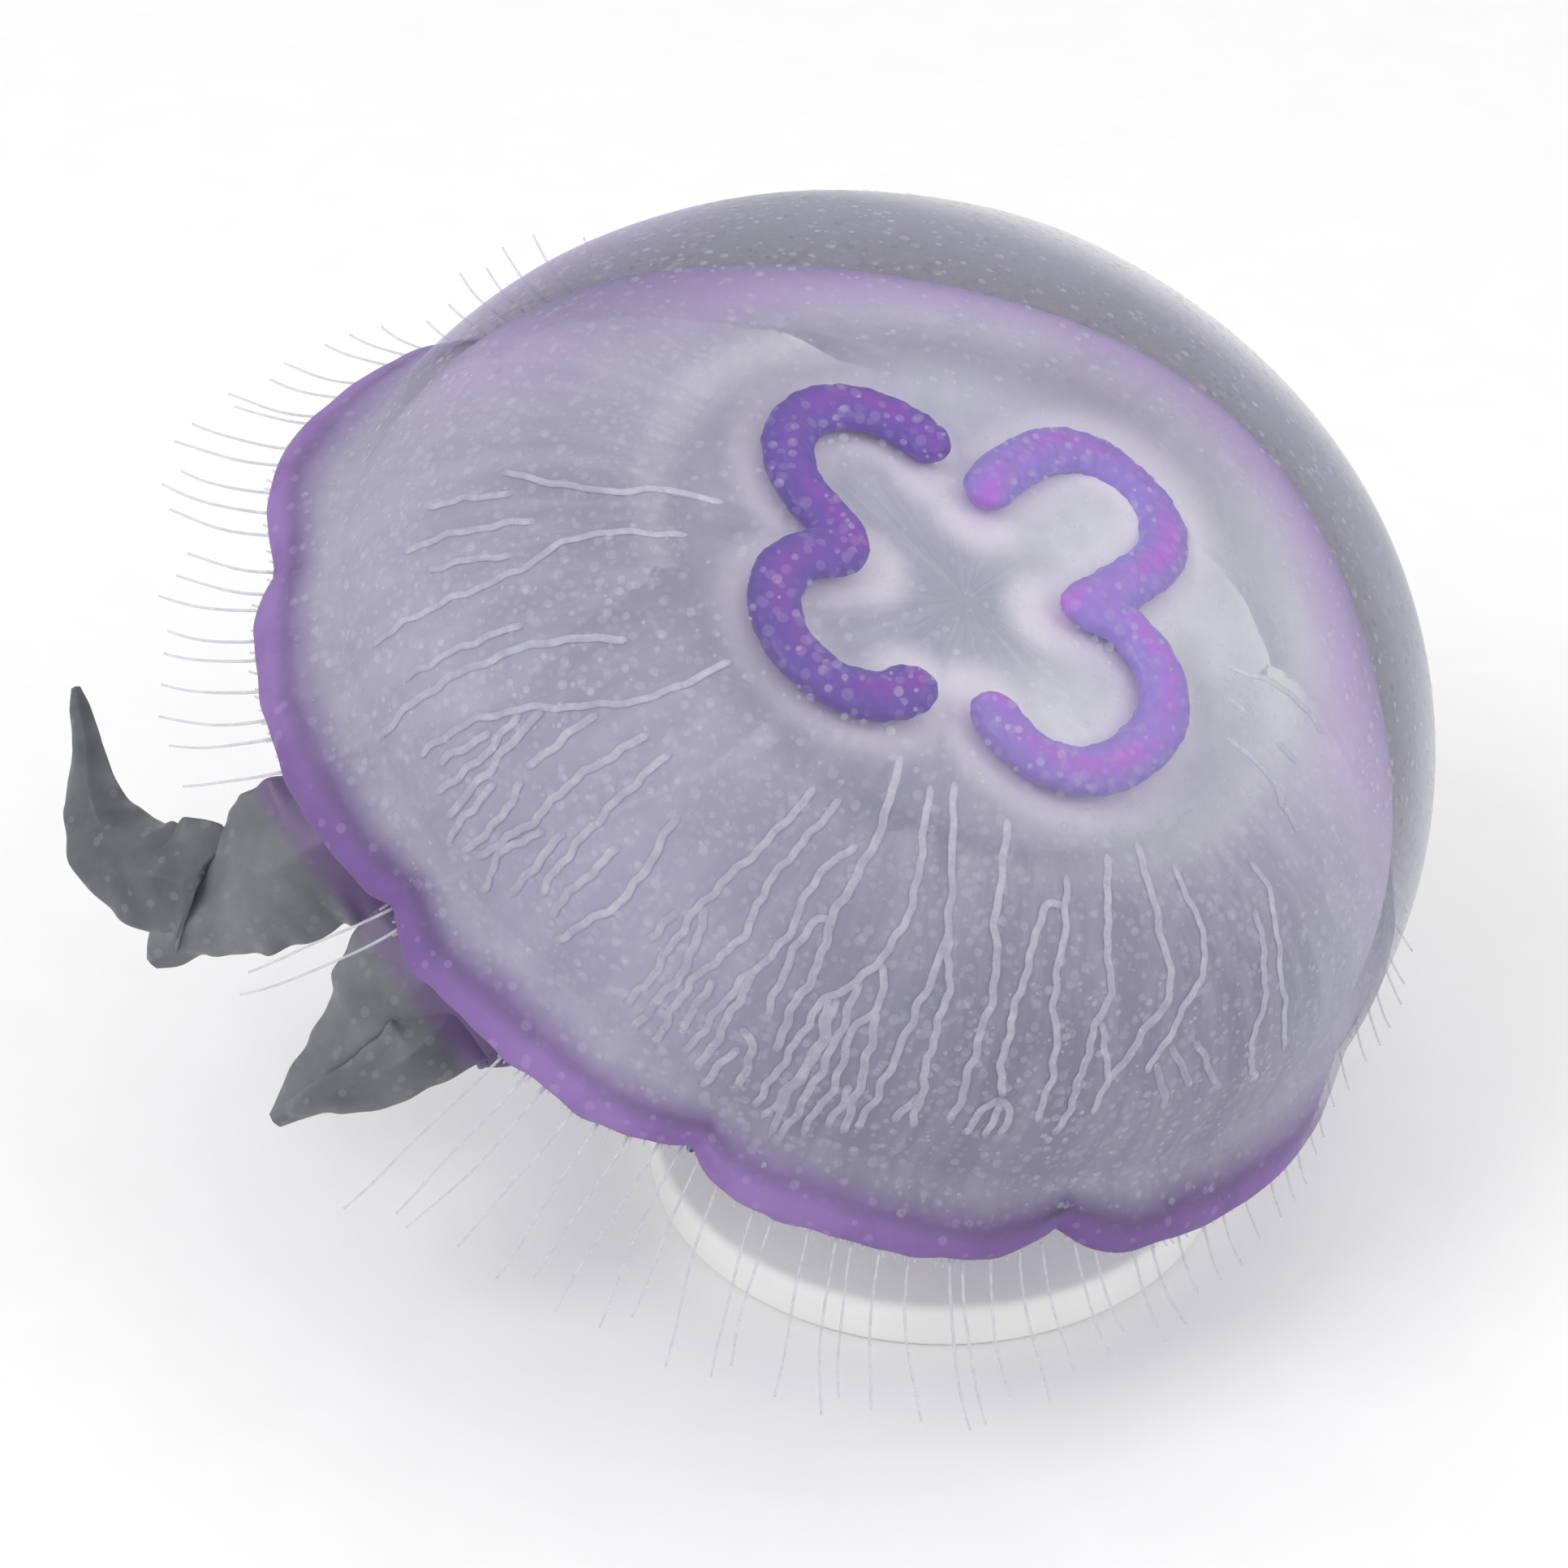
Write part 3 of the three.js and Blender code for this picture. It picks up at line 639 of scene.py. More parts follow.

# %% [markdown]
# ## Finish: the under-bell
# Inside the gel lies the thin swimming muscle. It takes the milky tones as they are, with a lilac
# haze round its shoulders and two sizes of granules. The haze is partly painted light: it is made
# paler on the high side and at the left, where the dense gel shades the muscle. A solid under-bell
# would hide the horseshoes from above, so the muscle opens over the stomach.

# %% Under-bell
milk, tree, shader = new_finish("milky_muscle", Roughness=0.5, IOR=1.36)
place = mark(tree, "bell_place", vector=True)
down = mark(tree, "down")
body = place_group(tree, milky_tones, Vector=place)
# Lilac haze round the shoulders, partly painted light: paler on the high side and at the left, where the
# dense gel shades the muscle.
shoulder = times(tree, fade(tree, down, 0.3, 0.45), fade(tree, down, 0.93, 0.72))
high_side = on_side(tree, place, in_bell(92, 1, 0), -10 * MM, 50 * MM)
left_side = pooled(tree, place, in_bell(182, 112 * MM, 34 * MM), 46 * MM)
lilac = maths(tree, "MAXIMUM", times(tree, high_side, 0.85),
              times(tree, left_side, 0.6))
haze = times(tree, shoulder, lilac)
body = mix_colour(tree, haze, body, colour(226, 202, 247))
dots = speckled(tree, place, 290.0, 0.34)
body = lay_over(tree, body, dots, 0.2, colour(226, 227, 236))
grains = speckled(tree, place, 410.0, 0.34)
body = lay_over(tree, body, grains, 0.15, colour(226, 227, 236))
is_hem = place_group(tree, hem, Vector=place, Down=down)
hemmed = mix_colour(tree, is_hem, body, hem_colour(tree, place))
opening = fade(tree, down, 0.22, 0.36, 0.06, 0.95)
bump = fine_bump(tree, place, 240.0, 4.0, 0.2, 0.3 * MM)
wire(tree, shader, Base_Color=hemmed, Alpha=opening, Normal=bump)

# %% [markdown]
# ## The bell
# The dome, the flared hem and the roof of the hollow are one body of jelly, so they are one skin:
# rings that run down the outside, turn round the thin edge, and climb back up the inside. A skin
# like this has no seam to hide. The rings lie closer together near the edge, where the hem flares,
# dips into its notches and ripples a little, as a living margin does.

# %% Where the rings lie
COLUMNS = 480
LIP_STEPS = 7
POLE_GAP, BRIM_FROM = 0.012, 0.9     # shares of the way down
outer_rows = np.concatenate([np.linspace(POLE_GAP, BRIM_FROM, 80), np.linspace(BRIM_FROM, 1, 32)[1:]])
inner_rows = np.concatenate([np.linspace(1, BRIM_FROM, 24), np.linspace(BRIM_FROM, POLE_GAP, 56)[1:]])
around = np.arange(COLUMNS) / COLUMNS * LOBES
print("rings outside and inside:", len(outer_rows), len(inner_rows))

# %% Ripples and swellings
RIPPLE_HEIGHT, RIPPLE_FROM = 0.45 * MM, 0.955
RIPPLES = [(1, 29, 0, 0), (0.6, 43, 0, 1.3), (0.5, 71, 0, 0.4)]
SWELL_SIZE = 0.0022
SWELLINGS = [(1, 3, 9, 0), (0.7, 5, -7, 2), (0.4, 9, 13, 0)]
LAP_DOWN, LAP_UP = 1.6 * MM, 1.4 * MM


def ripple_edge(points, t, place):
    """The margin waves gently, and where two lobes meet one laps down and the other turns up."""
    phase = place / LOBES * 2 * np.pi
    start, end = lobe_ends(place)
    lap = LAP_UP * end ** 3 - LAP_DOWN * np.sin(np.pi * start) ** 2
    points[..., 2] += (RIPPLE_HEIGHT * waves(RIPPLES, phase) + lap) * smoothstep(t, RIPPLE_FROM, 1)
    return points


def swell(points, t, place):
    """The gel is never quite true: broad, shallow swellings over the dome."""
    phase = place / LOBES * 2 * np.pi
    return points * (1 + SWELL_SIZE * waves(SWELLINGS, phase, t) * np.sin(np.pi * t))[..., None]


print("ripples:", len(RIPPLES), "swellings:", len(SWELLINGS))


# %% Build the bell
t_out, place_out = np.meshgrid(outer_rows, around, indexing="ij")
t_in, place_in = np.meshgrid(inner_rows, around, indexing="ij")
outside = swell(ripple_edge(outer_skin(t_out, place_out), t_out, place_out), t_out, place_out)
inside = ripple_edge(hollow_skin(t_in, place_in), t_in, place_in)

edge_middle = (outside[-1] + inside[0]) / 2
edge_half = (outside[-1] - inside[0]) / 2
lip_turn = np.linspace(0, np.pi, LIP_STEPS + 2)[1:-1]
lip = (edge_middle[None] + edge_half[None] * np.cos(lip_turn)[:, None, None]
       + np.array([0, 0, -EDGE_THICKNESS / 2]) * np.sin(lip_turn)[:, None, None])

bell_rings = np.concatenate([outside, lip, inside])
down_marks = np.concatenate([t_out, np.ones(lip.shape[:2]), t_in])
crown_pole, roof_pole = outer_skin(0, 0), hollow_skin(0, 0)
bell_points = np.concatenate([[crown_pole], bell_rings.reshape(-1, 3), [roof_pole]])
bell_faces = fan_faces(0, 1, COLUMNS)
outer_count = COLUMNS + (len(outer_rows) - 1 + (LIP_STEPS + 1) // 2) * COLUMNS
bell_faces += grid_faces(len(bell_rings), COLUMNS, first=1)
bell_faces += fan_faces(len(bell_points) - 1, len(bell_points) - 1 - COLUMNS, COLUMNS, flip=True)
bell = make_piece(
    "bell_skin", to_room(bell_points), bell_faces, [gel, milk],
    marks={"down": np.concatenate([[0], down_marks.ravel(), [0]]), "bell_place": bell_points},
    finish_of_face=[int(i >= outer_count) for i in range(len(bell_faces))])
dress(bell, "bell_gel", "bell_crown", *[f"bell_sector_{i + 1}" for i in range(LOBES)],
      *[f"margin_lobe_{i + 1}" for i in range(LOBES)])

# %% [markdown]
# ## The stinging warts
# The top of the bell is dotted with tiny raised warts that hold stinging cells. Bump alone would
# not break the highlights at a glancing angle, so each wart is a small closed lens set into the
# skin. Their places come from a seeded draw, spread evenly over the area of the dome.

# %% Wart finish
wart_finish, tree, shader = new_finish("wart", Roughness=0.6, IOR=1.36, Specular_IOR_Level=0.2)
place = mark(tree, "bell_place", vector=True)
tone = cloudy(tree, place, 400.0, 0.3, 0.7)
wire(tree, shader, Base_Color=mix_colour(tree, tone, colour(190, 189, 206), colour(214, 214, 228)),
     Alpha=fade(tree, tone, 0.0, 1.0, 0.08, 0.16))

# %% Build the warts
WARTS = 3600
WART_SIDES = 8
SMALLEST_WART, WART_SPREAD = 0.4 * MM, 0.75 * MM
WART_TOP, WART_PROFILE, WART_BOTTOM = 0.15, ((0.6, 0.11), (0.92, 0.03), (1.0, -0.08)), -0.1
draw = random.Random(11)


def skin_frame(surface, t, place):
    """A point of a skin with its outward normal and a direction along it."""
    spot = surface(t, place)
    along = surface(t + 0.004, place) - surface(t - 0.004, place)
    across = surface(t, place + 0.01) - surface(t, place - 0.01)
    return spot, unit(np.cross(along, across)), unit(along)


warts, wart_spots, wart_radii = Bundle(), np.full((WARTS, 3), 9.0), np.zeros(WARTS)
wart_faces = (fan_faces(0, 1, WART_SIDES) + grid_faces(3, WART_SIDES, first=1)
              + fan_faces(1 + 3 * WART_SIDES, 1 + 2 * WART_SIDES, WART_SIDES, flip=True))
wart_turn = 2 * np.pi * np.arange(WART_SIDES) / WART_SIDES
while len(warts.points) < WARTS:
    t, place = draw.uniform(0.02, 0.97), draw.uniform(0, LOBES)
    if draw.random() > math.sin(t * math.pi / 2):
        continue
    spot, normal, along = skin_frame(outer_skin, t, place)
    across = np.cross(normal, along)
    radius = SMALLEST_WART + WART_SPREAD * draw.random() ** 1.5
    if (np.linalg.norm(wart_spots - spot, axis=1) < wart_radii + radius).any():
        continue
    wart_spots[len(warts.points)], wart_radii[len(warts.points)] = spot, radius
    rings = [spot + normal * radius * WART_TOP]
    for share, rise in WART_PROFILE:
        rings += [spot + normal * radius * rise
                  + radius * share * (along * math.cos(a) + across * math.sin(a)) for a in wart_turn]
    rings.append(spot + normal * radius * WART_BOTTOM)
    warts.add(np.array(rings), wart_faces)
dress(warts.piece("bell_warts", [wart_finish]), "bell_gel")

# %% [markdown]
# ## The radial canals
# Food leaves the stomach by canals that run out to the margin. Some are plain and some fork again
# and again, so a single stem opens into a delta. They lie on top of the under-bell, inside the gel.
# They could be grown by rule, but no two animals share a network, so this one is charted: each canal
# is named by a few places on the bell, and a smooth line through them is laid on the under-bell. A
# little seeded straying keeps it from looking drawn with a ruler.

# %% Canal finish
canal_finish, tree, shader = new_finish("canal", Roughness=0.5, IOR=1.36)
place = mark(tree, "bell_place", vector=True)
worn = cloudy(tree, place, 220.0, 0.3, 0.75)
wire(tree, shader, Base_Color=mix_colour(tree, worn, colour(222, 220, 236), colour(240, 239, 248)),
     Alpha=times(tree, mark(tree, "strength"), fade(tree, worn, 0.0, 1.0, 0.8, 1.0)))

# %% A smooth line through chosen points
def smooth_line(chosen, samples=400):
    """Samples, evenly spaced, of a curve through the chosen points, and where each is among them."""
    p = np.array(chosen, float)
    p = np.concatenate([[2 * p[0] - p[1]], p, [2 * p[-1] - p[-2]]])
    fine, where = [], []
    for i in range(1, len(p) - 2):
        gaps = np.linalg.norm(np.diff(p[i - 1:i + 3], axis=0), axis=1)
        knots = np.concatenate([[0], np.cumsum(gaps ** 0.5)])
        s = np.linspace(knots[1], knots[2], 120, endpoint=i == len(p) - 3)[:, None]

        def between(a, b, low, high):
            return (knots[high] - s) / (knots[high] - knots[low]) * a + (s - knots[low]) / (
                knots[high] - knots[low]) * b

        a1, a2, a3 = (between(p[i - 1 + k], p[i + k], k, k + 1) for k in range(3))
        b1, b2 = between(a1, a2, 0, 2), between(a2, a3, 1, 3)
        fine.append(between(b1, b2, 1, 2))
        where.append(i - 1 + (s[:, 0] - knots[1]) / (knots[2] - knots[1]))
    fine, where = np.concatenate(fine), np.concatenate(where)
    gone = np.concatenate([[0], np.cumsum(np.linalg.norm(np.diff(fine, axis=0), axis=1))])
    even = np.linspace(0, gone[-1], samples)
    line = np.stack([np.interp(even, gone, fine[:, k]) for k in range(fine.shape[1])], axis=1)
    return line, np.interp(even, gone, where)


bend_line, _ = smooth_line([(0, 0), (10, 0), (10, 10)], 50)
print("a right-angled bend, smoothed, is", round(float(
    np.linalg.norm(np.diff(bend_line, axis=0), axis=1).sum()), 1), "long instead of 20")

# %% The chart of canals
# Each canal is a run of (degree round the axis, share of the way down); a branch starts on its stem.
LEFT_CANALS = [
    [(208.5, .22), (208, .30), (209.5, .38), (206.5, .55)], [(210, .53), (209.5, .70)],
    [(214.5, .49), (214, .76)], [(217.5, .27), (217.5, .42), (221.5, .55), (222, .78), (221.5, .88)],
    [(219, .54), (217.5, .71)], [(228.5, .56), (227.5, .83)],
    [(235, .41), (232, .51), (230.5, .72), (230, .93)],
    [(244, .29), (244, .42), (237.5, .64), (235.5, .76), (235, .87)], [(238, .71), (237, .84)],
    [(238, .64), (239.5, .75), (239, .88)], [(239, .60), (241, .76), (241.5, .89)],
    [(242.5, .76), (243, .92)], [(244, .71), (245.5, .80), (245, .91)], [(242.5, .52), (243.5, .69)],
    [(248, .47), (247.5, .65), (248, .74), (246.5, .89)], [(249.5, .74), (248, .84), (249, .93)],
    [(251, .71), (251.5, .89)], [(251.5, .46), (252.5, .66), (253.5, .84)],
    [(256, .65), (255.5, .86)], [(258, .53), (260, .71), (257.5, .89)],
]
LOW_CANALS = [
    [(268.5, .34), (268, .44), (266.5, .63), (267, .84), (266.5, .90)], [(265, .67), (264.5, .76)],
    [(267, .63), (269, .74), (268.5, .93)],
    [(272.5, .33), (271, .52), (272, .63), (270.5, .77), (271, .93)],
    [(272, .74), (272.5, .88)], [(278, .38), (275.5, .46), (276, .60), (274.5, .72), (274, .91)],
    [(275, .68), (275.5, .80), (276, .93)], [(278, .84), (277, .95)], [(277, .80), (279, .82), (280, .92)],
    [(278, .22), (280, .33), (279.5, .52), (280.5, .60), (280.5, .74), (281.5, .81)],
    [(279.5, .52), (278, .53), (277.5, .60), (278.5, .75)],
    [(285.5, .24), (288, .44), (285, .61), (283, .66), (282.5, .79), (282.5, .94)],
    [(285.5, .60), (286, .75), (286.5, .96)], [(283, .65), (284.5, .75), (284, .95)],
    [(284, .65), (285, .77), (284.7, .86), (285.2, .96)],
    [(287, .55), (288.5, .61), (287, .71), (288, .80), (288, .95)],
    [(288.5, .64), (289.8, .75), (291.5, .92)],
    [(289.5, .81), (290, .92)], [(290, .22), (293.5, .44), (292.5, .64), (292.5, .90)],
    [(293.5, .44), (295.5, .56), (295.5, .66), (297.5, .86)], [(296.5, .78), (295.5, .86)],
    [(301.5, .25), (300, .41), (301, .50), (300.5, .65), (301, .83)],
]
LOW_RIGHT_CANALS = [
    [(312, .32), (311, .39), (309, .52), (310, .63), (310, .80)],
    [(311, .37), (308, .37), (305.5, .46), (304, .57), (304, .68), (305, .75)],
    [(305, .75), (303.5, .79), (303.5, .85)], [(305, .75), (305.5, .85)],
    [(305, .75), (306.5, .78), (307, .84)],
    [(321, .29), (317.5, .41), (317, .51), (314.5, .60), (313.5, .73), (313, .83)],
    [(315.5, .57), (317, .68), (316.5, .78)],
    [(328, .28), (326.5, .42), (326, .53), (321.5, .60), (317.5, .70)],
    [(333.5, .33), (333, .48), (327, .58), (322, .69)],
    [(348.5, .38), (349, .42), (345, .57), (344, .77)],
    [(344.5, .45), (340.5, .63), (338, .71), (340, .81)],
]
FAINT_CANALS = [
    [(323.5, .67), (326, .79)], [(325.5, .64), (329, .75)], [(329, .64), (333.5, .78)],
    [(24, .22), (25, .31), (21, .39)], [(15.5, .22), (14.5, .26)], [(5.5, .24), (5.5, .31), (2, .37)],
    [(13, .31), (12, .36)], [(2.5, .36), (1, .41)],
]
CHARTS = ((LEFT_CANALS, 0.8), (LOW_CANALS, 0.68), (LOW_RIGHT_CANALS, 0.74), (FAINT_CANALS, 0.5))
print("canals charted:", sum(len(chart) for chart, strength in CHARTS))

# %% Laying a canal
CANAL_HALF_WIDTH = 0.9 * MM
CANAL_SAMPLE = 1.1 * MM
CANAL_RISE = 0.25 * MM
LOBE_SPAN, DOWN_SPAN = 90 * MM, 160 * MM        # what one lobe round, and the whole way down, measure
WANDERS = [(0.42 * MM, 17 * MM), (0.26 * MM, 8 * MM)]     # how far a canal strays, and how often


def place_of_turn(degrees):
    """The place, counted in lobes, whose angle round the axis is the one given."""
    trial = np.linspace(-2, 14, 4001)
    return np.interp(degrees, np.degrees(round_axis(trial)), trial)


def lay_canal(canals, chosen, half_width, strength):
    """A flat tube on the under-bell through chosen places, which strays a little as it goes."""
    chosen = np.array(chosen, float)
    flat = np.stack([place_of_turn(chosen[:, 0]) * LOBE_SPAN, chosen[:, 1] * DOWN_SPAN], axis=1)
    length = np.linalg.norm(np.diff(flat, axis=0), axis=1).sum()
    line, _ = smooth_line(flat, max(8, int(length / CANAL_SAMPLE)))
    gone = np.linspace(0, length, len(line))
    settle = np.minimum(1, gone / (6 * MM))
    for far, often in WANDERS:
        line[:, 0] += far * settle * np.sin(2 * np.pi * gone / (often * draw.uniform(0.8, 1.25))
                                        + draw.uniform(0, 6))
    t, place = line[:, 1] / DOWN_SPAN, line[:, 0] / LOBE_SPAN
    points, outward, _ = skin_frame(hollow_skin, t, place)
    points = points + outward * CANAL_RISE
    to_end = np.minimum(gone, length - gone)
    width = half_width * np.sqrt(np.clip(to_end / half_width, 0.12, 1))
    along = unit(np.gradient(points, axis=0))
    canals.tube(points, np.cross(outward, along), width, width * 0.3, sides=8,
                strength=strength * np.clip(0.4 + to_end / (4 * MM), 0, 1))


print("degree 90 is place", round(float(place_of_turn(90)), 2), "counted in lobes")

# %% Lay the canals
HIDDEN_SIDE = (34, 162)           # degrees of the far side, where the canals are fine and regular
HIDDEN_STEMS = 16
draw = random.Random(24)
canals = Bundle()
for chart, strength in CHARTS:
    for chosen in chart:
        lay_canal(canals, chosen, CANAL_HALF_WIDTH * draw.uniform(0.92, 1.08), strength)
for i in range(HIDDEN_STEMS):
    at = HIDDEN_SIDE[0] + (HIDDEN_SIDE[1] - HIDDEN_SIDE[0]) * (i + 0.5) / HIDDEN_STEMS
    start, fork, end = draw.uniform(0.66, 0.7), draw.uniform(0.74, 0.78), draw.uniform(0.88, 0.94)
    lay_canal(canals, [(at, start), (at + draw.uniform(-1, 1), fork), (at + 1.5, end)],
              CANAL_HALF_WIDTH * 0.8, 0.3)
    branch = [(at, fork), (at - 2, fork + 0.06), (at - 2.5, end * 0.97)]
    lay_canal(canals, branch, CANAL_HALF_WIDTH * 0.7, 0.28)
dress(canals.piece("radial_canals", [canal_finish]), "stomach_membrane")

# %% [markdown]
# ## The stomach floor
# Under the horseshoes hangs the floor of the stomach, a thin pale dish that turns up to meet the
# under-bell at its rim. It is the backdrop that the purple stands against: greenish white in the
# middle, with a painted glow round each horseshoe and painted light towards its rim, which make up
# for the shade that the horseshoes and the under-bell cast on it.

# %% The horseshoes' middle lines
GONAD_HALF_WIDTH = 5.9 * MM
GONAD_HALF_HEIGHT = 3.5 * MM
GONAD_HANG = 0.8 * MM
GONADS = [  # place round the axis, distance out, radius, stretch, first and last degree, degree at the cusp
    (161.6, 32.5 * MM, 20.1 * MM, 0.3 * MM, 63, 252),
    (243.4, 35.3 * MM, 17.4 * MM, -0.9 * MM, 361, 140),
    (347.6, 30.4 * MM, 21.7 * MM, -3 * MM, -129, 74),
    (76.1, 39.5 * MM, 22.6 * MM, 4.5 * MM, 220, -30),
]
CUSPS = [in_bell(206, 24.6 * MM, 0), in_bell(35, 20.6 * MM, 0)]


def bend(start, heading, end, arrive, steps=16):
    """A smooth bend from one point and heading to another."""
    s = np.linspace(0, 1, steps)[:, None]
    reach = np.linalg.norm(end - start)
    a, b = start + heading * reach * 0.5, end - arrive * reach * 0.35
    return (1 - s) ** 3 * start + 3 * s * (1 - s) ** 2 * a + 3 * s * s * (1 - s) * b + s ** 3 * end


def horseshoe_line(at, out, radius, stretch, free_end, cusp_end, cusp):
    """From the free end of a horseshoe, round its arc, and in to the cusp it shares."""
    centre = np.array(in_bell(at, out, 0))
    turn = np.radians(np.linspace(free_end, cusp_end, 70))
    reach = radius + stretch * np.cos(2 * (turn - math.radians(at)))
    arc = centre + np.stack([reach * np.cos(turn), reach * np.sin(turn), 0 * turn], axis=1)
    cusp = np.array(cusp)
    join = bend(arc[-1], unit(arc[-1] - arc[-2]), cusp, unit(-cusp))
    line = np.concatenate([arc, join[1:]])
    outside = np.hypot(line[:, 0], line[:, 1]) + GONAD_HALF_WIDTH
    line[:, 2] = roof_height(outside) - GONAD_HANG - GONAD_HALF_HEIGHT
    return line


gonad_lines = [horseshoe_line(*gonad, CUSPS[i // 2]) for i, gonad in enumerate(GONADS)]
all_gonad_points = np.concatenate(gonad_lines)


def gonad_distance(points):
    """How far each point is, seen along the axis, from the nearest horseshoe's middle line."""
    flat_points, flat_line = points[:, :2], all_gonad_points[::2, :2]
    gaps = flat_points[:, None] - flat_line[None]
    return np.sqrt((gaps ** 2).sum(axis=2).min(axis=1))


print("horseshoe lengths in mm:",
      [round(float(np.linalg.norm(np.diff(l, axis=0), axis=1).sum()) / MM) for l in gonad_lines])

# %% Stomach finish
stomach_finish, tree, shader = new_finish("stomach_floor_milk", Roughness=0.45, IOR=1.36)
place = mark(tree, "bell_place", vector=True)
body = place_group(tree, milky_tones, Vector=place)
veil = cloudy(tree, place, 90.0, 0.4, 0.7)
body = lay_over(tree, body, veil, 0.2, colour(206, 214, 214))
near_rim = mark(tree, "near_rim")
# Painted light: paler towards the rim, to make up for the shade the under-bell above casts on the dish.
body = lay_over(tree, body, fade(tree, near_rim, 0.6, 0.95), 0.35, colour(236, 236, 244))
# Painted glow: paler round each horseshoe, to make up for the shade the horseshoes cast on the dish.
body = lay_over(tree, body, mark(tree, "painted_glow"), 0.85, colour(250, 245, 252))
bump = fine_bump(tree, place, 150.0, 4.0, 0.25, 0.3 * MM)
melting = fade(tree, near_rim, 0.76, 1.0, 1.0, 0.0)
wire(tree, shader, Base_Color=body, Normal=bump,
     Alpha=times(tree, melting, fade(tree, veil, 0.0, 1.0, 0.97, 0.92)))

# %% Build the stomach floor
DISH_COLUMNS, DISH_ROWS = 180, 46
DISH_REACH = 0.345                # how far down the under-bell its rim meets the roof
DISH_RIM = 0.5 * MM
DISH_DROP = 9.2 * MM              # its upper side, just clear of the horseshoes
DISH_WALL = 3.5 * MM
DISH_HOLE, TURNS_UP_FROM = 0.04, 0.72     # shares of the way from its middle to its rim
dish_place = np.arange(DISH_COLUMNS) / DISH_COLUMNS * LOBES


def dish_ring(share, below):
    """One ring of the dish, hung under the roof of the hollow; below is 0 on its upper side."""
    ring = hollow_skin(DISH_REACH * share ** 1.5, dish_place)
    near_rim = smoothstep(share, TURNS_UP_FROM, 1)
    ring[:, 2] -= DISH_DROP + (DISH_RIM - DISH_DROP) * near_rim
    ring[:, 2] -= below * DISH_WALL * (1 - 0.85 * near_rim)
    return ring


dish_shares = np.linspace(DISH_HOLE, 1, DISH_ROWS)
dish_rings = [dish_ring(s, 0) for s in dish_shares] + [dish_ring(s, 1) for s in dish_shares[::-1]]
dish_points = np.concatenate(
    [[(0, 0, HOLLOW_HEIGHT - DISH_DROP)], *dish_rings, [(0, 0, HOLLOW_HEIGHT - DISH_DROP - DISH_WALL)]])
dish_faces = fan_faces(0, 1, DISH_COLUMNS) + grid_faces(len(dish_rings), DISH_COLUMNS, first=1)
dish_faces += fan_faces(len(dish_points) - 1, len(dish_points) - 1 - DISH_COLUMNS, DISH_COLUMNS, flip=True)
# Where the painted glow lies: close to each horseshoe, seen along the axis.
painted_glow_marks = smoothstep(-gonad_distance(dish_points), -15 * MM, -6 * MM)
rim_marks = np.repeat(np.concatenate([dish_shares, dish_shares[::-1]]), DISH_COLUMNS)
stomach = make_piece("stomach_dish", to_room(dish_points), dish_faces, [stomach_finish],
                     marks={"bell_place": dish_points, "painted_glow": painted_glow_marks,
                            "near_rim": np.concatenate([[0], rim_marks, [0]])})
dress(stomach, "stomach_membrane", "stomach_floor")

# %% [markdown]
# ## The horseshoes
# The reproductive organs are folded ribbons, and they give a moon jelly its four rings. They are
# joined in pairs at a cusp on the left and on the right. Two tubes that merely cross would show a
# crease there, so each pair is fused: the tubes are remeshed as one body, smoothed, and then
# ruffled along their normals. A remesh drops the marks, so they are worked out afterwards.

# %% Gonad finish
def gonad_finish(name, body, deep, heart):
    finish, tree, shader = new_finish(name, Roughness=0.42, IOR=1.38, Coat_Weight=0.25,
                                      Coat_Roughness=0.2)
    place = mark(tree, "bell_place", vector=True)
    folds = cloudy(tree, place, 300.0, 0.35, 0.65)
    patches = cloudy(tree, place, 55.0, 0.42, 0.6)
    dots = speckled(tree, place, 290.0, 0.4)
    tissue = lay_over(tree, body, folds, 0.5, deep)
    warm = times(tree, mark(tree, "middle"), fade(tree, patches, 0.0, 1.0, 0.25, 0.9))
    tissue = mix_colour(tree, warm, tissue, heart)
    tissue = lay_over(tree, tissue, dots, 0.16, colour(206, 190, 226))
    bump = fine_bump(tree, place, 700.0, 3.0, 0.3, 0.25 * MM)
    wire(tree, shader, Base_Color=tissue, Normal=bump)
    return finish


gonad_dark = gonad_finish("gonad_violet", colour(106, 72, 178), colour(92, 60, 166), colour(136, 60, 180))
gonad_pale = gonad_finish("gonad_lilac", colour(156, 132, 218), colour(144, 118, 208),
                          colour(188, 108, 220))

# %% A tube for each horseshoe
GONAD_STEP = 0.4 * MM


def horseshoe_tube(bundle, line):
    """A fat tube, rounded at both of its ends."""
    gone = np.concatenate([[0], np.cumsum(np.linalg.norm(np.diff(line, axis=0), axis=1))])
    even = np.linspace(0, gone[-1], int(gone[-1] / GONAD_STEP))
    line = np.stack([np.interp(even, gone, line[:, k]) for k in range(3)], axis=1)
    gone = even
    near_free = np.clip(gone / GONAD_HALF_WIDTH, 0, 1)
    near_cusp = np.clip((gone[-1] - gone) / (1.5 * GONAD_HALF_WIDTH), 0, 1)
    full = np.sqrt(1 - (1 - near_free) ** 2) * np.sqrt(1 - (1 - near_cusp) ** 2) + 0.02
    heading = unit(np.gradient(line, axis=0))
    side = np.stack([heading[:, 1], -heading[:, 0], 0 * heading[:, 0]], axis=1)
    bundle.tube(line, side, GONAD_HALF_WIDTH * full, GONAD_HALF_HEIGHT * full, sides=20)


print("a horseshoe's tube is", 2 * GONAD_HALF_WIDTH / MM, "mm wide and", 2 * GONAD_HALF_HEIGHT / MM, "high")

# %% Fuse each pair
GONAD_VOXEL, GONAD_SMOOTHING = 0.6 * MM, 12
RUFFLE, RUFFLE_SCALE = 0.42 * MM, 330


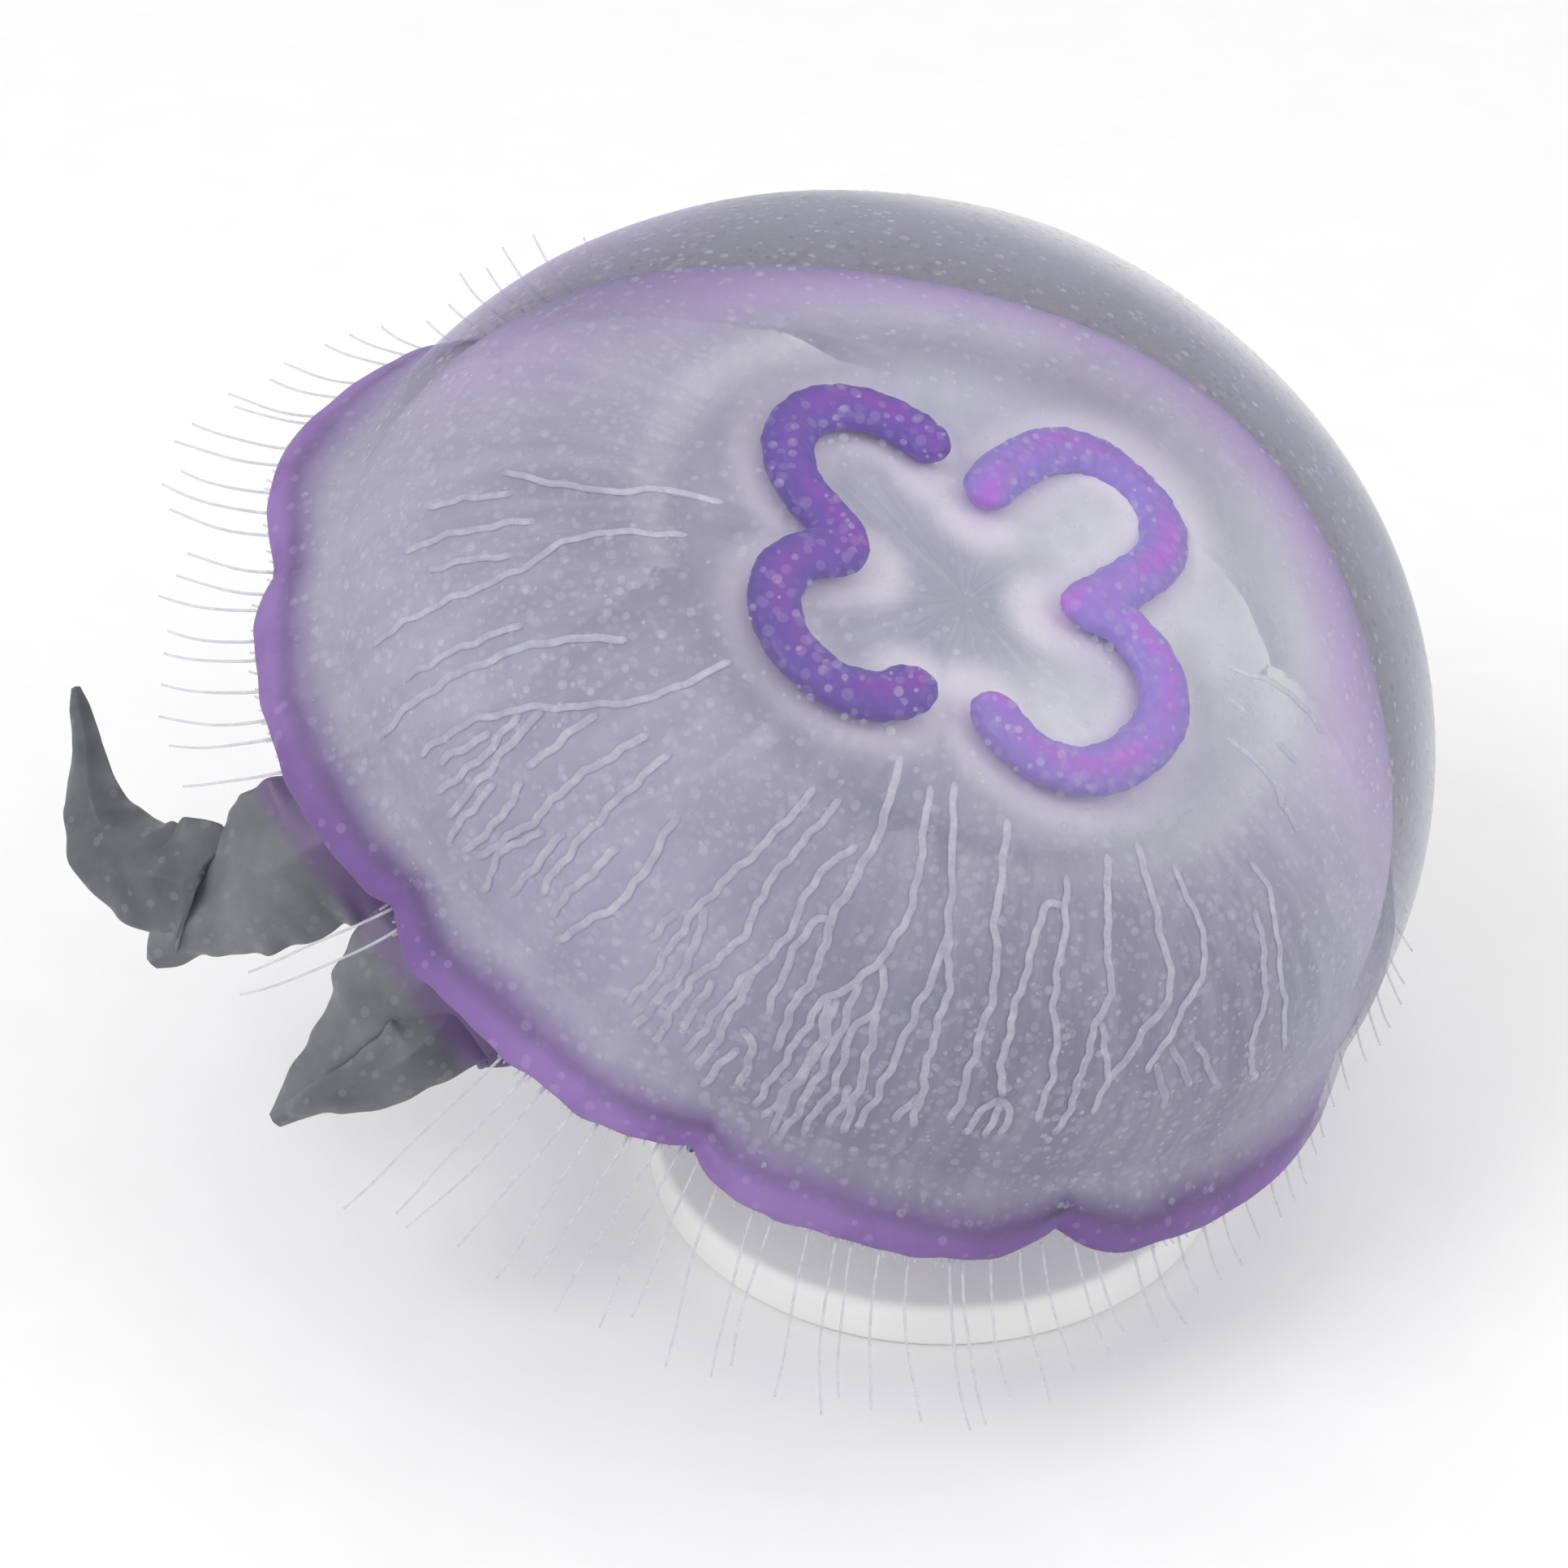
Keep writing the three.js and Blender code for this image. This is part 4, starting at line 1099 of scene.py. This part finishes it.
def fuse(piece, voxel, smoothing):
    """Remeshes a piece of crossing shells into one body and smooths it."""
    remesh = piece.modifiers.new("fuse", "REMESH")
    remesh.mode, remesh.voxel_size = "VOXEL", voxel
    relax = piece.modifiers.new("relax", "SMOOTH")
    relax.factor, relax.iterations = 0.5, smoothing
    bpy.context.view_layer.update()
    fused = bpy.data.meshes.new_from_object(piece.evaluated_get(bpy.context.evaluated_depsgraph_get()))
    piece.modifiers.clear()
    return fused


def points_of(mesh):
    flat_points = np.empty(len(mesh.vertices) * 3)
    mesh.vertices.foreach_get("co", flat_points)
    return flat_points.reshape(-1, 3)


def gonad_pair(name, lines, finish):
    tubes = Bundle()
    for line in lines:
        horseshoe_tube(tubes, line)
    piece = tubes.piece(name, [finish], place_in_room=False)
    fused = fuse(piece, GONAD_VOXEL, GONAD_SMOOTHING)
    points = points_of(fused)
    normals = np.empty(len(points) * 3)
    fused.vertices.foreach_get("normal", normals)
    wave = np.array([noise.fractal(Vector(p) * RUFFLE_SCALE, 1.0, 2.0, 2) for p in points])
    ruffled = points + normals.reshape(-1, 3) * (RUFFLE * wave)[:, None]
    middle = smoothstep(-gonad_distance(points), -0.8 * GONAD_HALF_WIDTH, -0.1 * GONAD_HALF_WIDTH)
    fused.vertices.foreach_set("co", to_room(ruffled).ravel())
    store_mark(fused, "bell_place", points)
    store_mark(fused, "middle", middle)
    fused.materials.clear()
    fused.materials.append(finish)
    fused.polygons.foreach_set("use_smooth", [True] * len(fused.polygons))
    fused.update()
    piece.data = fused
    print(f"{name} fused: {len(fused.polygons)} faces")
    return piece


left_pair = gonad_pair("gonad_pair_left", gonad_lines[:2], gonad_dark)
right_pair = gonad_pair("gonad_pair_right", gonad_lines[2:], gonad_pale)
dress(left_pair, "gonad", "gonad_1", "gonad_2")
dress(right_pair, "gonad", "gonad_3", "gonad_4")

# %% [markdown]
# ## The oral arms
# Four arms hang from the mouth. Each is a long leaf folded along its middle, with frilled lips that
# carry food up the groove. The middle line passes through a few chosen points, the width is read
# along it, and two sets of waves ruffle the lips: a slow one that turns them and a quick one that
# frills them. The blades are thick at the fold and thin at the lips.

# %% Arm finish
PAST_MARGIN = (-0.277, -0.751, -0.6)     # the way the arms go as they leave the bell
arm_finish, tree, shader = new_finish("oral_arm_skin", Roughness=0.5, IOR=1.36, Coat_Weight=0.2,
                                      Coat_Roughness=0.25)
place = mark(tree, "bell_place", vector=True)
smoke = cloudy(tree, place, 42.0, 0.35, 0.68)
fine = cloudy(tree, place, 170.0, 0.4, 0.7)
dots = speckled(tree, place, 280.0, 0.34)
shade = mix_colour(tree, smoke, colour(74, 77, 81), colour(101, 104, 108))
bright = mix_colour(tree, smoke, colour(98, 101, 105), colour(128, 131, 135))
body = mix_colour(tree, mark(tree, "paleness"), shade, bright)
body = lay_over(tree, body, fine, 0.35, colour(108, 108, 114))
body = lay_over(tree, body, mark(tree, "lip"), 0.35, colour(128, 131, 136))
body = lay_over(tree, body, dots, 0.2, colour(150, 153, 158))
from_margin = on_side(tree, place, PAST_MARGIN, 113.5 * MM, 109.5 * MM)
under_bell = on_side(tree, place, PAST_MARGIN, 44 * MM, 100 * MM)
root = times(tree, times(tree, from_margin, under_bell), 0.8)
body = mix_colour(tree, root, body, colour(108, 88, 132))
bump = fine_bump(tree, place, 420.0, 4.0, 0.35, 0.3 * MM)
wire(tree, shader, Base_Color=body, Normal=bump, Alpha=fade(tree, smoke, 0.0, 1.0, 0.97, 0.9))

# %% The arms' dimensions, in millimetres in the bell's frame
ARM_FOLD = 0.42
ORAL_ARMS = [  # middle line, half widths along it, which way the blade faces at its root and end, paleness
    ([(-20, -9, 42), (-37, -34, 12), (-80, -84, -37), (-86, -90, -48), (-92, -94, -61), (-95, -98, -71),
      (-96, -100, -78), (-96.5, -102, -81)],
     (8, 14, 17.5, 17.8, 13.5, 8.5, 5, 1.5), (-20, -9, 12), (0, -0.72, 0.69), 1),
    ([(9, -20, 42), (-5, -50, 16), (-43.5, -104, -31), (-48, -114, -52), (-53.5, -122, -74)],
     (8, 14, 19, 11.5, 1.8), (9, -20, 12), (0, -0.72, 0.69), 0.6),
    ([(20, 9, 42), (19, 36, 8), (13, 46, -30), (7, 45, -58), (2, 36, -82)],
     (8, 14, 17, 12, 1.6), (20, 9, 12), (0.5, 0.8, 0.2), 0.5),
    ([(-9, 20, 42), (-24, 42, 10), (-46, 56, -30), (-62, 52, -60), (-74, 40, -86)],
     (8, 14, 17, 12, 1.6), (-9, 20, 12), (-0.4, 0.9, 0.1), 0.5),
]
TURNED_LOBE = (  # the front lip of the first arm, folded over and curled up
    [(-96.9, -95, -60.1), (-97.9, -95.2, -60.3), (-99.7, -94.8, -61.3), (-109.1, -94.4, -66.4),
     (-122.4, -88, -71.1), (-130.8, -81.8, -70.5), (-138.2, -73.1, -68.8), (-145.2, -66.3, -67.6),
     (-148.7, -62.9, -66.9)],
    (6, 11, 14.8, 12.7, 10, 6.3, 3.4, 2.2, 1), (0, -0.72, 0.69), (0, -0.72, 0.69), 0)
FOLDED_LIP = (  # the lower lip of the second arm, folded over its middle
    [(-28.8, -76.8, -35.7), (-30.7, -92.3, -32.8), (-35.0, -101.0, -32.8), (-36.6, -112.8, -38.5),
     (-41.2, -118.9, -47.3), (-47.2, -122.1, -56.1), (-52.3, -123.3, -67.8)],
    (10, 14.5, 12.3, 8.2, 6.6, 4, 1.5), (0, -0.72, 0.69), (0, -0.72, 0.69), 0.35)
RIB_THICKNESS, LIP_THICKNESS = 2.2 * MM, 0.7 * MM
SLOW_FRILL, QUICK_FRILL = 5.4 * MM, 1.9 * MM     # length of arm over which each wave turns by a radian
SLOW_LIFT, QUICK_LIFT = 1.5 * MM, 0.7 * MM
SLOW_WIDENING, QUICK_WIDENING = 0.045, 0.02
ARM_ROWS, ARM_COLUMNS = 190, 41
print("arms:", len(ORAL_ARMS), "and two folded lobes")


# %% The surface of one arm
def arm_surface(number, chosen, widths, root_faces, end_faces):
    """Middle surface of one arm, its normals, and how near each point is to a lip."""
    line, where = smooth_line(chosen, ARM_ROWS)
    line = line * MM
    s = np.linspace(0, 1, ARM_ROWS)
    along = unit(np.gradient(line, axis=0))
    turning = smoothstep(s, 0, 0.45)[:, None]
    face = unit(np.array(root_faces, float)) * (1 - turning) + unit(np.array(end_faces, float)) * turning
    face = unit(face - along * np.sum(face * along, axis=1, keepdims=True))
    across = np.cross(along, face)
    half = np.interp(where, range(len(widths)), widths) * MM
    reach = np.linspace(-1, 1, ARM_COLUMNS)
    near_lip = np.abs(reach)[None] ** 2.5
    side = np.sign(reach)[None]
    gone = s[:, None] * np.linalg.norm(np.diff(line, axis=0), axis=1).sum()
    slow = np.sin(gone / SLOW_FRILL + 1.7 * side + number)
    quick = np.sin(gone / QUICK_FRILL + 2.3 * side + 2 * number)
    quick = quick + 0.6 * np.sin(1.6 * gone / QUICK_FRILL - side)
    calm = np.minimum(1, half / (10 * MM))[:, None]
    lift = near_lip * calm * (SLOW_LIFT * slow + QUICK_LIFT * quick)
    wide = half[:, None] * (1 + near_lip * (SLOW_WIDENING * slow + QUICK_WIDENING * quick))
    slope = ARM_FOLD * half[:, None] * np.abs(reach)[None] ** 1.25
    surface = (line[:, None] + across[:, None] * (reach[None] * wide)[..., None]
               + face[:, None] * (lift - slope)[..., None])
    du, dv = np.gradient(surface, axis=1), np.gradient(surface, axis=0)
    return surface, unit(np.cross(dv, du)), np.broadcast_to(near_lip, slow.shape[:1] + near_lip.shape[1:])


def sheet_with_thickness(surface, normal, half):
    """Closes a sheet into a ring of points round each row: over the top, round the lip, and back."""
    top = surface + normal * half[..., None]
    bottom = surface - normal * half[..., None]
    return np.concatenate([top, bottom[:, ::-1]], axis=1)


# %% Build the arms
arms = Bundle()
for number, (*blade, paleness) in enumerate([*ORAL_ARMS, TURNED_LOBE, FOLDED_LIP]):
    surface, normal, near_lip = arm_surface(number, *blade)
    rib = 1 - np.abs(np.linspace(-1, 1, ARM_COLUMNS))[None]
    half = (LIP_THICKNESS + (RIB_THICKNESS - LIP_THICKNESS) * rib) / 2 * np.ones((ARM_ROWS, 1))
    half[:, [0, -1]] *= 0.35
    half *= np.minimum(1, 0.15 + 14 * (1 - np.linspace(0, 1, ARM_ROWS)))[:, None]
    rings = sheet_with_thickness(surface, normal, half)
    loop = rings.shape[1]
    lips = np.concatenate([near_lip, near_lip[:, ::-1]], axis=1)
    points = np.concatenate([[surface[0, ARM_COLUMNS // 2]], rings.reshape(-1, 3),
                             [surface[-1, ARM_COLUMNS // 2]]])
    faces_of_arm = (fan_faces(0, 1, loop) + grid_faces(ARM_ROWS, loop, first=1)
                    + fan_faces(len(points) - 1, len(points) - 1 - loop, loop, flip=True))
    arms.add(points, faces_of_arm, lip=np.concatenate([[0], lips.ravel(), [1]]), paleness=paleness)

# %% [markdown]
# The arms meet in the mouth, a short tube with four soft corners. It is turned as rings whose
# radius swells towards each arm, and joins the same mesh, so arms and mouth are one skin.

# %% The mouth
MOUTH_RADIUS = 15.5 * MM
THROAT_RADIUS = 9.5 * MM
MOUTH_LENGTH = 12 * MM
MOUTH_SIDES = 72
mouth_top = HOLLOW_HEIGHT - STOMACH_DEPTH - STOMACH_WALL - 0.4 * MM
mouth_turn = 2 * np.pi * np.arange(MOUTH_SIDES) / MOUTH_SIDES
arm_turns = [math.atan2(arm[0][0][1], arm[0][0][0]) for arm in ORAL_ARMS]
corner = sum(np.exp(-((np.angle(np.exp(1j * (mouth_turn - a)))) / 0.35) ** 2) for a in arm_turns)
mouth_profile = [(THROAT_RADIUS, 0), (THROAT_RADIUS + 0.6 * MM, -6 * MM),
                 (THROAT_RADIUS + 2 * MM, -12 * MM),
                 (MOUTH_RADIUS - 1.5 * MM, -12.6 * MM), (MOUTH_RADIUS - 0.6 * MM, -11 * MM),
                 (MOUTH_RADIUS - 1 * MM, -5 * MM), (MOUTH_RADIUS, 0)]
mouth_rings = []
for out, up in mouth_profile:
    swelling = out + 1.6 * MM * corner * abs(up) / MOUTH_LENGTH
    mouth_rings.append(np.stack([swelling * np.cos(mouth_turn), swelling * np.sin(mouth_turn),
                                 np.full(MOUTH_SIDES, mouth_top + up)], axis=1))
mouth_faces = grid_faces(len(mouth_rings), MOUTH_SIDES)
last_ring = (len(mouth_rings) - 1) * MOUTH_SIDES
mouth_faces += [(last_ring + i, last_ring + (i + 1) % MOUTH_SIDES, (i + 1) % MOUTH_SIDES, i)
                for i in range(MOUTH_SIDES)]
arms.add(np.concatenate(mouth_rings), mouth_faces, lip=0.3, paleness=0.5)
oral_arms = arms.piece("oral_arms_skin", [arm_finish])
dress(oral_arms, "oral_arm", "mouth_tube",
      *[f"oral_arm_{i + 1}_{part}" for i in range(4) for part in ("base", "middle", "tip")])

# %% [markdown]
# ## The tentacles
# Hundreds of fine tentacles hang from the hem. They are short next to the bell, and water drags
# them back as the animal banks. A hair system would be the usual way, but hairs are lost when the
# model is exported, so each is a thin tapering tube, all joined in one mesh. The same soft bumps of
# length as in the frame say where they are long, and a second, very short fringe fills the gaps.

# %% Tentacle finish
tentacle_finish, tree, shader = new_finish("tentacle", Roughness=0.4, IOR=1.36)
place = mark(tree, "bell_place", vector=True)
tip = mark(tree, "tip")
beads = cloudy(tree, place, 500.0, 0.35, 0.7)
pale = mix_colour(tree, beads, colour(196, 195, 204), colour(216, 215, 222))
rooted = mix_colour(tree, fade(tree, tip, 0.1, 0.0), pale, colour(176, 152, 204))
wire(tree, shader, Base_Color=rooted, Alpha=fade(tree, tip, 0.0, 1.0, 0.6, 0.38))

# %% Where the tentacles are long, and how they trail
TENTACLES_PER_LOBE = 14
FRINGE_PER_LOBE = 30
TENTACLE_ROOT = 0.36 * MM
TENTACLE_TIP = 0.26 * MM
TENTACLE_INSET = 1.2 * MM
SHORTEST_TENTACLE = 14 * MM
LONGER_TENTACLES = [(28 * MM, 264, 26), (20 * MM, 305, 22), (14 * MM, 188, 40),
                    (24 * MM, 148, 15), (26 * MM, 35, 20)]
ARM_ARCS = [(229, 243), (247.5, 260)]     # degrees of the margin kept bare, where the arms sweep past
TRAILING_TENTACLES = [(1, 4, 26), (0.45, 34, 14), (0.4, 177, 18)]
DRIFT = np.array([0, 0.36, -0.35])
ROOT_DROOP, TIP_DROOP = 0.45, -0.12
CURL_WAVES, CURL_SIZE = 7, 0.012
LONG_STEPS, FRINGE_STEPS, TENTACLE_SIDES = 16, 6, 6
FRINGE_ROOT = 0.24 * MM
FRINGE_LENGTHS = (1.2 * MM, 3.2 * MM)


def hang_tentacle(bundle, place, length, sway, root_radius, steps):
    """A tentacle that leaves the hem, droops, and is lifted again towards its tip."""
    turn = float(round_axis(place))
    out = np.array([math.cos(turn), math.sin(turn), 0])
    side = np.array([-out[1], out[0], 0])
    behind = bumps(TRAILING_TENTACLES, turn)
    start = unit(out + DRIFT + side * sway[0] - np.array([0, 0, behind + ROOT_DROOP]))
    end = unit(out + DRIFT + side * sway[1] - np.array([0, 0, behind + TIP_DROOP]))
    edge = (outer_skin(1, place) + hollow_skin(1, place)) / 2
    root = edge - out * TENTACLE_INSET
    reach = length + TENTACLE_INSET
    s = np.linspace(0, 1, steps)[:, None]
    line = root + start * reach * (s - s * s / 2) + end * reach * s * s / 2
    curl = np.sin(s * CURL_WAVES + sway[2]) * s * length * CURL_SIZE
    line = line + side * curl
    radius = root_radius + (TENTACLE_TIP - root_radius) * s[:, 0] ** 0.7
    bundle.tube(line, np.broadcast_to(side, line.shape), radius, radius, sides=TENTACLE_SIDES, tip=s[:, 0])


def swept_by_arm(place):
    degrees = math.degrees(float(round_axis(place))) % 360
    return any(low < degrees < high for low, high in ARM_ARCS)


print("tentacles in a lobe:", TENTACLES_PER_LOBE, "long and", FRINGE_PER_LOBE, "short")

# %% Build the tentacles
draw = random.Random(5)
tentacles = Bundle()
for i in range(LOBES * TENTACLES_PER_LOBE):
    place = (i + 0.5 + 0.3 * draw.uniform(-1, 1)) / TENTACLES_PER_LOBE
    turn = float(round_axis(place))
    full = (SHORTEST_TENTACLE + bumps(LONGER_TENTACLES, turn)) * draw.uniform(0.86, 1.1)
    sway = (draw.uniform(-0.06, 0.06), draw.uniform(-0.1, 0.1), draw.uniform(0, 6))
    if not swept_by_arm(place):
        hang_tentacle(tentacles, place, full, sway, TENTACLE_ROOT, LONG_STEPS)
for i in range(LOBES * FRINGE_PER_LOBE):
    place = (i + 0.5 + 0.4 * draw.uniform(-1, 1)) / FRINGE_PER_LOBE
    sway = (draw.uniform(-0.2, 0.2), draw.uniform(-0.3, 0.3), draw.uniform(0, 6))
    short = draw.uniform(*FRINGE_LENGTHS)
    if not swept_by_arm(place):
        hang_tentacle(tentacles, place, short, sway, FRINGE_ROOT, FRINGE_STEPS)
dress(tentacles.piece("marginal_tentacles", [tentacle_finish]), "bell_margin")

# %% [markdown]
# ## The sense organs
# In each of the eight notches sits a rhopalium: a club the size of a rice grain with a dark eyespot
# and a weight that tells the animal which way is up. Each is a small round club, tucked just inside
# its notch and hanging down, swept along a line whose girth swells towards its end.

# %% Sense organ finish
sense_finish, tree, shader = new_finish("sense_organ", Roughness=0.35, IOR=1.38, Coat_Weight=0.4,
                                        Coat_Roughness=0.1)
place = mark(tree, "bell_place", vector=True)
grain = cloudy(tree, place, 900.0, 0.35, 0.7)
flesh = mix_colour(tree, grain, colour(150, 118, 182), colour(190, 168, 210))
wire(tree, shader, Base_Color=mix_colour(tree, fade(tree, mark(tree, "club"), 0.55, 0.8), flesh,
                                         colour(62, 40, 74)))

# %% Build the sense organs
RHOPALIUM_IN, RHOPALIUM_UNDER = 3.2 * MM, 0.8 * MM
CLUB_LENGTH = 3.8 * MM
CLUB_LEAN = (0.2, -0.95)       # outwards, and up
STALK, CLUB_SWELL = 0.42 * MM, 0.55 * MM
CLUB_AT, CLUB_SPREAD = 0.75, 0.27
rhopalia = Bundle()
for notch in range(LOBES):
    turn = float(round_axis(notch))
    out = np.array([math.cos(turn), math.sin(turn), 0])
    side = np.array([-out[1], out[0], 0])
    s = np.linspace(0, 1, 14)
    root = outer_skin(1, notch) - out * RHOPALIUM_IN - np.array([0, 0, RHOPALIUM_UNDER])
    lean = out * CLUB_LEAN[0] + np.array([0, 0, CLUB_LEAN[1]])
    line = root + lean[None] * (CLUB_LENGTH * s)[:, None]
    rounding = np.sqrt(np.clip(1 - ((s - CLUB_AT) / CLUB_SPREAD) ** 2, 0.05, 1))
    girth = STALK + CLUB_SWELL * smoothstep(s, 0.35, 0.7) * rounding
    rhopalia.tube(line, np.broadcast_to(side, line.shape), girth, girth, sides=12, club=s)
dress(rhopalia.piece("rhopalia", [sense_finish]), "sense_organ",
      *[f"rhopalium_{i + 1}" for i in range(LOBES)])

# %% [markdown]
# ## The stand
# A museum lifts such a model on a plain stand: a heavy white disc, one steel rod and a small pad
# under the stomach. They are turned shapes, so each is a profile swung round an axis, with its
# corners eased, because a sharp edge never catches the light.

# %% Stand finishes
def lacquer(name, bright, dull, **constants):
    finish, tree, shader = new_finish(name, **constants)
    place = mark(tree, "bell_place", vector=True)
    tone = cloudy(tree, place, 25.0, 0.3, 0.7)
    bump = fine_bump(tree, place, 900.0, 2.0, 0.12, 0.1 * MM)
    rub = cloudy(tree, place, 120.0, 0.3, 0.8)
    wire(tree, shader, Base_Color=mix_colour(tree, tone, bright, dull), Normal=bump,
         Roughness=fade(tree, rub, 0.0, 1.0, 0.34, 0.5))
    return finish


stand_white = lacquer("stand_lacquer", colour(243, 243, 241), colour(236, 236, 236), IOR=1.45)

BRUSHING = (4000.0, 4000.0, 60.0)     # fine across the rod, long along it
steel, tree, shader = new_finish("brushed_steel", Metallic=1.0)
place = mark(tree, "bell_place", vector=True)
brushed = add_node(tree, "ShaderNodeVectorMath", {0: place, 1: BRUSHING}, operation="MULTIPLY")
lines = add_node(tree, "ShaderNodeTexNoise", {"Vector": brushed, "Scale": 1.0, "Detail": 3.0})
bump = bump_from(tree, lines, 0.15, 0.05 * MM)
wire(tree, shader, Base_Color=mix_colour(tree, lines, colour(196, 199, 204), colour(222, 224, 228)),
     Roughness=fade(tree, lines, 0.2, 0.8, 0.24, 0.38), Normal=bump)


# %% Turned pieces
def turned(profile, sides=128):
    """A profile of (out, up) points, from axis to axis, swung round Z."""
    turn = 2 * np.pi * np.arange(sides) / sides
    rings = [np.stack([out * np.cos(turn), out * np.sin(turn), np.full(sides, up)], axis=1)
             for out, up in profile[1:-1]]
    points = np.concatenate([[(0, 0, profile[0][1])], *rings, [(0, 0, profile[-1][1])]])
    faces = fan_faces(0, 1, sides) + grid_faces(len(rings), sides, first=1)
    faces += fan_faces(len(points) - 1, len(points) - 1 - sides, sides, flip=True)
    return points, faces


def eased(radius, bottom, top, ease, steps=6):
    """The profile of a disc or rod with rounded corners."""
    corner = np.linspace(0, np.pi / 2, steps)
    low = [(radius - ease + ease * math.sin(a), bottom + ease - ease * math.cos(a)) for a in corner]
    high = [(radius - ease + ease * math.cos(a), top - ease + ease * math.sin(a)) for a in corner]
    return [(0, bottom), (radius * 0.5, bottom), *low, *high, (radius * 0.5, top), (0, top)]


# %% Base
BASE_EASE = 2.4 * MM
base_low, base_high = (np.array(corner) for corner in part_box("stand_base"))
base_radius = (base_high[0] - base_low[0]) / 2
points, faces = turned(eased(base_radius, base_low[2], base_high[2], BASE_EASE))
base = make_piece("stand_base_disc", points, faces, [stand_white], marks={"bell_place": points})
dress(base, "stand_white", "stand_base")

# %% Rod, with a collar at its foot
COLLAR_RADIUS, COLLAR_HEIGHT = 6 * MM, 5 * MM
COLLAR_EASE, FOOT_EASE, ROD_EASE = 1 * MM, 0.5 * MM, 0.4 * MM
SUNK = 0.3 * MM         # into the base, so that no gap shows
FILLET = 0.6 * MM
rod_low, rod_high = (np.array(corner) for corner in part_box("stand_rod"))
rod_radius = (rod_high[0] - rod_low[0]) / 2
foot, top = rod_low[2], rod_high[2]
collar_top = foot + COLLAR_HEIGHT
rod_profile = [(0, foot - SUNK), (COLLAR_RADIUS - FOOT_EASE, foot - SUNK), (COLLAR_RADIUS, foot + SUNK),
               (COLLAR_RADIUS, collar_top - COLLAR_EASE), (COLLAR_RADIUS - COLLAR_EASE, collar_top),
               (rod_radius + FILLET, collar_top), (rod_radius, collar_top + FILLET),
               (rod_radius, top - ROD_EASE), (rod_radius - ROD_EASE, top), (0, top)]
points, faces = turned(rod_profile, sides=48)
rod = make_piece("stand_rod_turned", points, faces, [steel], marks={"bell_place": points})
dress(rod, "stand_steel", "stand_rod")

# %% Pad, which leans with the bell
PAD_RADIUS, PAD_THICKNESS, PAD_EASE = 6.5 * MM, 3 * MM, 0.8 * MM
pad_top = HOLLOW_HEIGHT - PAD_DROP + PAD_THICKNESS
points, faces = turned(eased(PAD_RADIUS, pad_top - PAD_THICKNESS, pad_top, PAD_EASE), sides=64)
pad = make_piece("stand_pad_disc", to_room(points), faces, [steel], marks={"bell_place": points})
dress(pad, "stand_steel", "stand_pad")

# %% [markdown]
# ## The floor and the light
# A pale floor and large soft lamps keep the light even, so that the colours read as they are. A lit
# white world does most of the work. One big lamp from the upper left gives the gel its wet shine,
# and a weaker one from the right keeps the far side from going dull.

# %% Floor
FLOOR_SIZE = 6.0
floor_finish, tree, shader = new_finish("floor_paper", Roughness=0.8)
spot = add_node(tree, "ShaderNodeTexCoord", output="Object")
fibre = cloudy(tree, spot, 40.0, 0.2, 0.8)
wire(tree, shader, Base_Color=mix_colour(tree, fibre, colour(246, 246, 246), colour(249, 249, 249)))
half = FLOOR_SIZE / 2
floor = make_piece("floor", [(-half, -half, 0), (half, -half, 0), (half, half, 0), (-half, half, 0)],
                   [(0, 1, 2, 3)], [floor_finish])

# %% World and lamps
world = bpy.data.worlds.new("studio")
world.use_nodes = True
world.node_tree.nodes["Background"].inputs["Color"].default_value = (1, 1, 1, 1)
world.node_tree.nodes["Background"].inputs["Strength"].default_value = 0.9
bpy.context.scene.world = world


def soft_lamp(name, place, size, power, aim=(0, 0, 0.12)):
    lamp = bpy.data.lights.new(name, "AREA")
    lamp.shape, lamp.size, lamp.energy = "DISK", size, power
    holder = bpy.data.objects.new(name, lamp)
    holder.location = place
    holder.rotation_euler = (Vector(aim) - Vector(place)).to_track_quat("-Z", "Y").to_euler()
    bpy.context.scene.collection.objects.link(holder)
    print(name, "lamp at", place)


soft_lamp("key", (-0.9, -0.7, 1.5), 0.9, 9)
soft_lamp("fill", (1.3, -0.6, 0.9), 1.0, 3)

# %% [markdown]
# ## The camera
# The camera looks down at 35 degrees from straight in front, seven bell radii away, so that the
# near side of the bell is only a little larger than the far side.

# %% Camera
ELEVATION = math.radians(35)
CAMERA_DISTANCE = 7 * BELL_RADIUS
AIM_LEFT, AIM_DOWN = 16.1 * MM, 8.3 * MM
SENSOR, FOCAL_LENGTH = 36, 90.5
towards_camera = Vector((0, -math.cos(ELEVATION), math.sin(ELEVATION)))
picture_up = Vector((0, math.sin(ELEVATION), math.cos(ELEVATION)))
camera_place = margin_centre + towards_camera * CAMERA_DISTANCE
aim = margin_centre - Vector((AIM_LEFT, 0, 0)) - picture_up * AIM_DOWN
lens = bpy.data.cameras.new("camera")
lens.sensor_width, lens.lens = SENSOR, FOCAL_LENGTH
camera = bpy.data.objects.new("camera", lens)
camera.location = camera_place
camera.rotation_euler = (aim - camera_place).to_track_quat("-Z", "Y").to_euler()
bpy.context.scene.collection.objects.link(camera)
bpy.context.scene.camera = camera
bpy.context.scene.view_settings.view_transform = "Standard"
print("camera at", [round(x, 3) for x in camera_place], "with a lens of", FOCAL_LENGTH, "mm")
